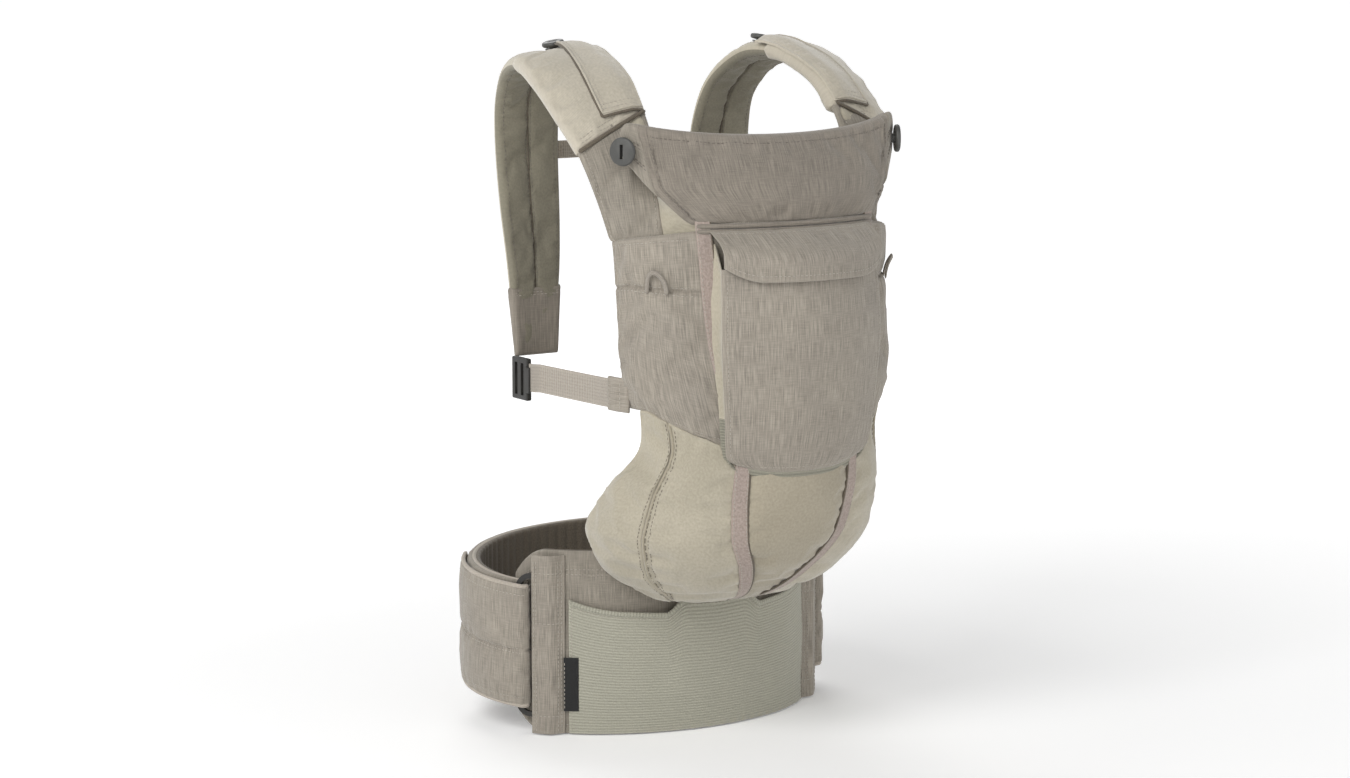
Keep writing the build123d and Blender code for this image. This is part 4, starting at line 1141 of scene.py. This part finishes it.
def build_headrest():
    """Padded headrest, its elastic loops and the two small gusset triangles beside it."""
    # The headrest takes the darker melange as painted shade.
    rest = Quilt(
        "headrest_pad", headrest_place, HEADREST_THICK, MELANGE_DARK, ["headrest"], headrest_folds, count=(84, 26),
        rim=6.5, marks_u=(0.055, 0.945), dip=1.2, puff=(4.0, 0.03), fill=0.5, ride=False,
    )
    hems = [upward(rest, u, (0.06, 0.95)) for u in (0.05, 0.062, 0.938, 0.95)]
    hems.append(across(rest, 0.9, (0.06, 0.94)))
    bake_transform(rest.object)
    dashes("headrest_stitching", hems, THREAD_DARK, body="headrest", thick=0.35)

    for name, side in SIDES:
        tab_at = flipped(headrest_tab_place, side)
        tab = Quilt(
            "headrest_tab_" + name, tab_at, 7.0, MELANGE, ["headrest_loop_" + name],
            lambda u, v: ripple(u, v, 1.0, 2.0, 4.2, 0.8) - 2.0 * u, count=(18, 26), rim=3.5, marks_v=(0.36, 0.66),
            dip=0.9, fill=0.4, ride=False,
        )
        tapes = [across(tab, v, (0.1, 0.7)) for v in (0.33, 0.39, 0.63, 0.69)]
        near, far = tab_at(0.26, 0.5, 0.0) * MM, tab_at(0.8, 0.5, 0.0) * MM
        far.z = near.z
        threads = dashes("headrest_tab_stitching_" + name, tapes, THREAD_DARK, body=None, thick=0.35)
        for piece in (tab.object, threads):
            tuple(near)
            tuple(far)
            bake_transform(piece)
        Quilt(
            "strap_gusset_" + name, flipped(strap_gusset_place, side), 2.4, TAN,
            relief=rippled(1.5, 3.0, 4.9, 0.8), count=(14, 26),
        )


# Shoulder straps. A place runs along the strap in rows of STRAP, a share runs across it.

def strap_edge(place, edge):
    index = max(0, min(int(place), STRAP_LAST - 1))
    share = place - index
    before, start, end, after = (
        Vector(STRAP[min(STRAP_LAST, max(0, index + step))][edge]) for step in (-1, 0, 1, 2))
    leave = (end - before) * 0.5
    arrive = (after - start) * 0.5
    cube, square = share ** 3, share ** 2
    point = start * (2.0 * cube - 3.0 * square + 1.0) + end * (3.0 * square - 2.0 * cube)
    return point + leave * (cube - 2.0 * square + share) + arrive * (cube - square)


def strap_place(place, share, out):
    outer, inner = strap_edge(place, 0), strap_edge(place, 1)
    after, before = min(place + 0.25, STRAP_LAST), max(place - 0.25, 0.0)
    along = strap_edge(after, 0) + strap_edge(after, 1) - strap_edge(before, 0) - strap_edge(before, 1)
    normal = along.cross(inner - outer).normalized()
    crown = STRAP_CROWN * (1.0 - (2.0 * share - 1.0) ** 2)
    return outer + (inner - outer) * share + normal * (out + crown)


def strap_depth(place):
    ease = min((place - BASE_END) / 1.5, (STRAP_LAST - place) / 1.5, 1.0)
    return STRAP_END_THICK + max(0.0, ease) * (STRAP_THICK - STRAP_END_THICK)


def cover_start(share):
    """Place along the strap where its cover starts, later towards the inner edge."""
    return BASE_END - 0.1 + 0.5 * share


def strap_base_place(u, v, out):
    """Base from inside the side wing, narrower there, up to its end sunk under the cover."""
    spot = -0.35 + v * (BASE_END + 1.05)
    low = min(0.0, spot)
    along = (strap_edge(0.4, 0) - strap_edge(0.0, 0)) / 0.4
    sunk = Vector((-8.0, 12.0 * u - 6.0, 0.0)) * smooth(-3.0 * low)
    under = 6.5 * smooth((spot - cover_start(u)) / 0.3)
    share = 0.5 + (u - 0.5) * (1.0 - 0.22 * smooth(-3.0 * low))
    return strap_place(max(0.0, spot), share, out - under) + along * low + sunk


def strap_pad_place(u, v, out):
    spot = BASE_END + v * (STRAP_LAST - BASE_END)
    return strap_place(spot, 0.03 + 0.94 * u, out * strap_depth(spot) / STRAP_THICK)


def strap_end_place(u, v, out):
    spot = STRAP_LAST - 1.25 + 1.26 * v
    depth = strap_depth(min(spot, STRAP_LAST))
    return strap_place(spot, -0.005 + 1.01 * u, 1.2 + out * (depth + 2.4) / 12.0)


def strap_cover_place(u, v, out):
    spot = cover_start(u) * (1.0 - v) + v * (COVER_END + 0.05)
    return strap_place(spot, -0.015 + 1.03 * u, 3.4 + out)


def strap_flap_place(u, v, out):
    """Free flap of the cover, turned down round the strap's inner edge."""
    spot = BASE_END + 0.45 + v * (COVER_END - BASE_END - 0.1)
    share = 0.5 + 0.53 * u + 0.12 * (v - 0.3)
    return strap_place(spot, min(1.02, share), 7.4 + out - 5.0 * smooth((share - 0.82) / 0.2))


def lining_folds(u, v):
    return crease(u, v, 1.6, 26.0, 7.7, 1.6 * bell(v - 0.42, 0.16)) + ripple(u, v, 2.0, 10.0, 3.4, 1.1)


def rim_line(place, shares, out):
    """Points of (point, normal) along shares of a place, at one distance out."""
    return [(place(u, v, out), (place(u, v, 1.0) - place(u, v, 0.0)).normalized()) for u, v in shares]


def build_straps():
    """Sewn bases, padded straps with their lining, wrapped covers and strap ends."""
    lines, dark = [], []
    for name, side in SIDES:
        base = Quilt(
            "strap_base_cloth_" + name, flipped(strap_base_place, side), 7.0, MELANGE, ["strap_base_" + name],
            lambda u, v: ripple(u, v, 2.0, 3.0, 3.9, 1.3) + crease(u, v, 2.0, 3.0, 8.3, 1.2), count=(26, 40),
            rim=3.5, puff=(3.5, 0.04), fill=0.5,
        )
        lines += [upward(base, u, (0.03, 0.97)) for u in (0.08, 0.92)]

        pad = Quilt(
            "shoulder_strap_pad_" + name, flipped(strap_pad_place, side), STRAP_THICK, (TAN, STRAP_LINING),
            ["shoulder_strap_" + name], rippled(2.0, 12.0, 1.9, 0.9), lining_folds, count=(24, 150), rim=7.0,
            marks_u=(0.5,), dip=2.4, puff=(3.5, 0.02), fill=0.7,
        )
        piping("strap_centre_seam_" + name, upward(pad, 0.5, (0.02, 0.9), -1, 0.2), 0.8, LINING_AND_SHADOW)
        lines += [upward(pad, u, (0.3, 0.97)) for u in (0.1, 0.9)]
        dark += [upward(pad, u, (0.03, 0.97), -1) for u in (0.1, 0.47, 0.53, 0.9)]

        end = Quilt(
            "strap_end_cloth_" + name, flipped(strap_end_place, side), 12.0, MELANGE_DARK,
            relief=rippled(2.0, 2.5, 6.0, 1.0), count=(24, 26), rim=5.0, marks_v=(0.09,), dip=1.0, fill=0.5,
        )
        lines += [across(end, v, (0.05, 0.95), face) for face in (1, -1) for v in (0.09, 0.13)]

        cover_at = flipped(strap_cover_place, side)
        cover = Quilt(
            "strap_cover_cloth_" + name, cover_at, 17.5, TAN_PALE, ["strap_cover_" + name],
            lambda u, v: ripple(u, v, 2.0, 4.0, 2.5, 1.3) + crease(u, v, 2.0, 6.0, 5.1, 0.9),
            count=(28, 56), rim=7.0, puff=(3.0, 0.03), fill=0.5,
        )
        flap_at = flipped(strap_flap_place, side)
        flap = Quilt(
            "strap_cover_flap_" + name, flap_at, 2.6, TAN_PALE, relief=rippled(2.0, 5.0, 7.9, 1.1), count=(20, 60),
            rim=1.6, through=True,
        )
        lines += [upward(flap, u, (0.03, 0.97)) for u in (0.06, 0.13)]
        lines += [across(flap, v, (0.05, 0.9)) for v in (0.04, 0.075)]
        lines += [across(cover, v, (0.08, 0.6)) for v in (0.04, 0.07)]

        low_rim = [(0.02 + 0.96 * share, 0.002) for share in steps(40)]
        flap_rim = [(-0.012, 1.0 - share) for share in steps(40)]
        flap_rim += [(0.97 * share, -0.006) for share in steps(40)[1:]]
        # The cover_shadow and flap_shadow tubes are dark cords painted as the shadow under the cover's hem and
        # along the flap's edge.
        for part, line, radius, material in (
            ("cover_hem", across(cover, 0.012, (0.02, 0.98), lift=0.4), 1.7, TAN_PALE),
            ("cover_shadow", rim_line(cover_at, low_rim, -1.0), 2.2, LINING_AND_SHADOW),
            ("flap_end", across(flap, 0.015, (0.02, 0.98), lift=0.3), 1.5, TAN_PALE),
            ("flap_shadow", rim_line(flap_at, flap_rim, -1.4), 1.7, LINING_AND_SHADOW),
            ("flap_hem", upward(flap, 0.02, (0.01, 0.99), lift=0.3), 1.3, TAN_PALE),
        ):
            piping("strap_%s_%s" % (part, name), line, radius, material)
    dashes("strap_stitching", lines)
    dashes("strap_lining_stitching", dark, THREAD_DARK)


# Webbing

def tape(name, spots, wide, thick, material=WEBBING, **more):
    """Upright flat webbing along points."""
    def place(u, v, out):
        where = v * (len(spots) - 1)
        index = min(int(where), len(spots) - 2)
        spot = spots[index].lerp(spots[index + 1], where - index)
        along = (spots[index + 1] - spots[index]).normalized()
        return spot + UP * (wide * (u - 0.5)) + along.cross(UP).normalized() * (out + thick / 2.0)
    return Quilt(name, place, thick, material, count=(10, 8 * (len(spots) - 1)), **more)


def build_webbing():
    """Side webbing with its cuff, waist webbing and chest webbing."""
    lines = []
    front = wall_place(POUCH, WING_REAR, 356.0, 0.0).y
    for name, side in SIDES:
        belt = tape("side_webbing_tape_" + name, [Vector((side * x, y, z)) for x, y, z in (
            (141.5, front - 8.0, 353.5), (145.0, front + 8.0, 353.5), (146.0, front + 40.0, 353.0),
            (146.0, front + 90.0, 352.0), (146.0, -44.0, 351.0), (147.5, -33.0, 350.0), (148.0, -26.5, 350.0),
        )], 28.0, 1.8, nodes=["side_webbing_" + name], ride=False)
        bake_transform(belt.object)
        cuff = tape("side_webbing_cuff_" + name, [Vector((side * x, front + y, SIDE_WEBBING_LEVEL)) for x, y in (
            (140.5, -12.0), (144.8, 4.0), (145.8, 17.0))], 33.0, 5.0, MELANGE_LIGHT)
        lines += [across(cuff, v, (0.08, 0.92), face) for v in (0.3, 0.85, 0.93) for face in (1, -1)]

        depth, level = WAIST_BUCKLE
        near = 36.0 if side < 0 else 18.0
        route = [belt_place(angle, level, WING_OUT + 3.0) for angle in (137.0, 146.0, 154.0)]
        route += [Vector((near + x, depth + y, level)) for x, y in ((34.0, -1.0), (12.0, 2.6), (0.0, 3.0))]
        waist = tape("waist_webbing_tape_" + name, [Vector((side * spot.x, spot.y, spot.z)) for spot in route],
                     32.0, 2.0, nodes=["waist_webbing_" + name])
        lines += [across(waist, v, (0.06, 0.94), face) for v in (0.03, 0.12, 0.2) for face in (1, -1)]

        depth, level = CHEST_BUCKLE
        near = 22.0 if side < 0 else 11.0
        tape("chest_webbing_tape_" + name, [Vector((side * x, depth + y, level)) for x, y in (
            (near, 3.0), (near + 8.0, 2.2), (60.0, 0.4), (98.0, 0.6), (118.0, 1.2))], 18.0, 1.6,
            nodes=["chest_webbing_" + name], body="chest_strap")
    dashes("webbing_stitching", lines)


# Hardware: shapes from the frame, with moulded finishes

def finish_hardware():
    for name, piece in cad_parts.items():
        if name.startswith(("headrest_button", "upper_button")):
            material = BUTTON_PLASTIC
        elif name.startswith(("belt_loop", "chest_buckle", "chest_slider", "waist_buckle", "ladder_lock")):
            material = PLASTIC
        else:
            continue
        if piece.material_slots:
            for entry in piece.material_slots:
                entry.material = material
        else:
            piece.data.materials.append(material)


# Camera, floor and light

def aim(item, target):
    way = Vector(target) - item.location
    item.rotation_euler = way.to_track_quat("-Z", "Y").to_euler()


def faded(tree, source, start, end, first, last):
    """Socket that runs from first to last while its source runs from start to end."""
    node = tree.nodes.new("ShaderNodeMapRange")
    for label, value in (("From Min", start), ("From Max", end), ("To Min", first), ("To Max", last)):
        node.inputs[label].default_value = value
    tree.links.new(source, node.inputs["Value"])
    return node.outputs["Result"]


def build_stage():
    turn, rise, far = math.radians(32.0), math.radians(8.5), 3.5
    target = Vector((0.0, -0.060, 0.331))
    data = bpy.data.cameras.new("camera")
    data.lens = 93.33
    data.sensor_width = 36.0
    data.clip_end = 30.0
    camera = bpy.data.objects.new("camera", data)
    camera.location = target + far * Vector((
        -math.sin(turn) * math.cos(rise), -math.cos(turn) * math.cos(rise), math.sin(rise)))
    SCENE.collection.objects.link(camera)
    aim(camera, target)
    SCENE.camera = camera

    floor_z = CAD_BOX[0][2] - 0.0005
    size = 30.0
    mesh = bpy.data.meshes.new("floor")
    mesh.from_pydata([(x * size, y * size, floor_z) for x, y in ((-1, -1), (1, -1), (1, 1), (-1, 1))],
                     [], [(0, 1, 2, 3)])
    floor = bpy.data.objects.new("floor", mesh)
    SCENE.collection.objects.link(floor)
    paint = bpy.data.materials.new("floor_paint")
    paint.use_nodes = True
    shader = paint.node_tree.nodes["Principled BSDF"]
    shader.inputs["Base Color"].default_value = (0.9, 0.9, 0.9, 1.0)
    shader.inputs["Roughness"].default_value = 0.9
    shader.inputs["Emission Color"].default_value = (1.0, 1.0, 1.0, 1.0)
    nodes, links = paint.node_tree.nodes, paint.node_tree.links
    spread = nodes.new("ShaderNodeVectorMath")
    spread.operation = "LENGTH"
    links.new(nodes.new("ShaderNodeTexCoord").outputs["Object"], spread.inputs[0])
    glow = faded(paint.node_tree, spread.outputs["Value"], 0.5, 3.0, 0.14, 0.6)
    links.new(glow, shader.inputs["Emission Strength"])
    mesh.materials.append(paint)

    world = bpy.data.worlds.new("world")
    SCENE.world = world
    world.use_nodes = True
    backdrop = world.node_tree.nodes["Background"]
    backdrop.inputs["Color"].default_value = (1.0, 1.0, 1.0, 1.0)
    nodes, links = world.node_tree.nodes, world.node_tree.links
    split = nodes.new("ShaderNodeSeparateXYZ")
    links.new(nodes.new("ShaderNodeTexCoord").outputs["Generated"], split.inputs[0])
    links.new(faded(world.node_tree, split.outputs["Z"], 0.28, 0.6, 1.0, 0.3), backdrop.inputs["Strength"])

    for name, place, width, power in (
        ("key", (-2.9, -1.5, 2.8), 2.0, 92.0),
        ("fill", (1.8, -3.0, 1.2), 2.2, 8.0),
        ("rim", (0.6, 2.4, 2.6), 2.0, 35.0),
    ):
        light = bpy.data.lights.new(name, "AREA")
        light.size = width
        light.energy = power
        lamp = bpy.data.objects.new(name, light)
        lamp.location = place
        SCENE.collection.objects.link(lamp)
        aim(lamp, (0.0, -0.1, 0.3))


build_stage()
build_belt()
build_pouch()
build_pocket()
build_headrest()
build_straps()
build_webbing()
finish_hardware()
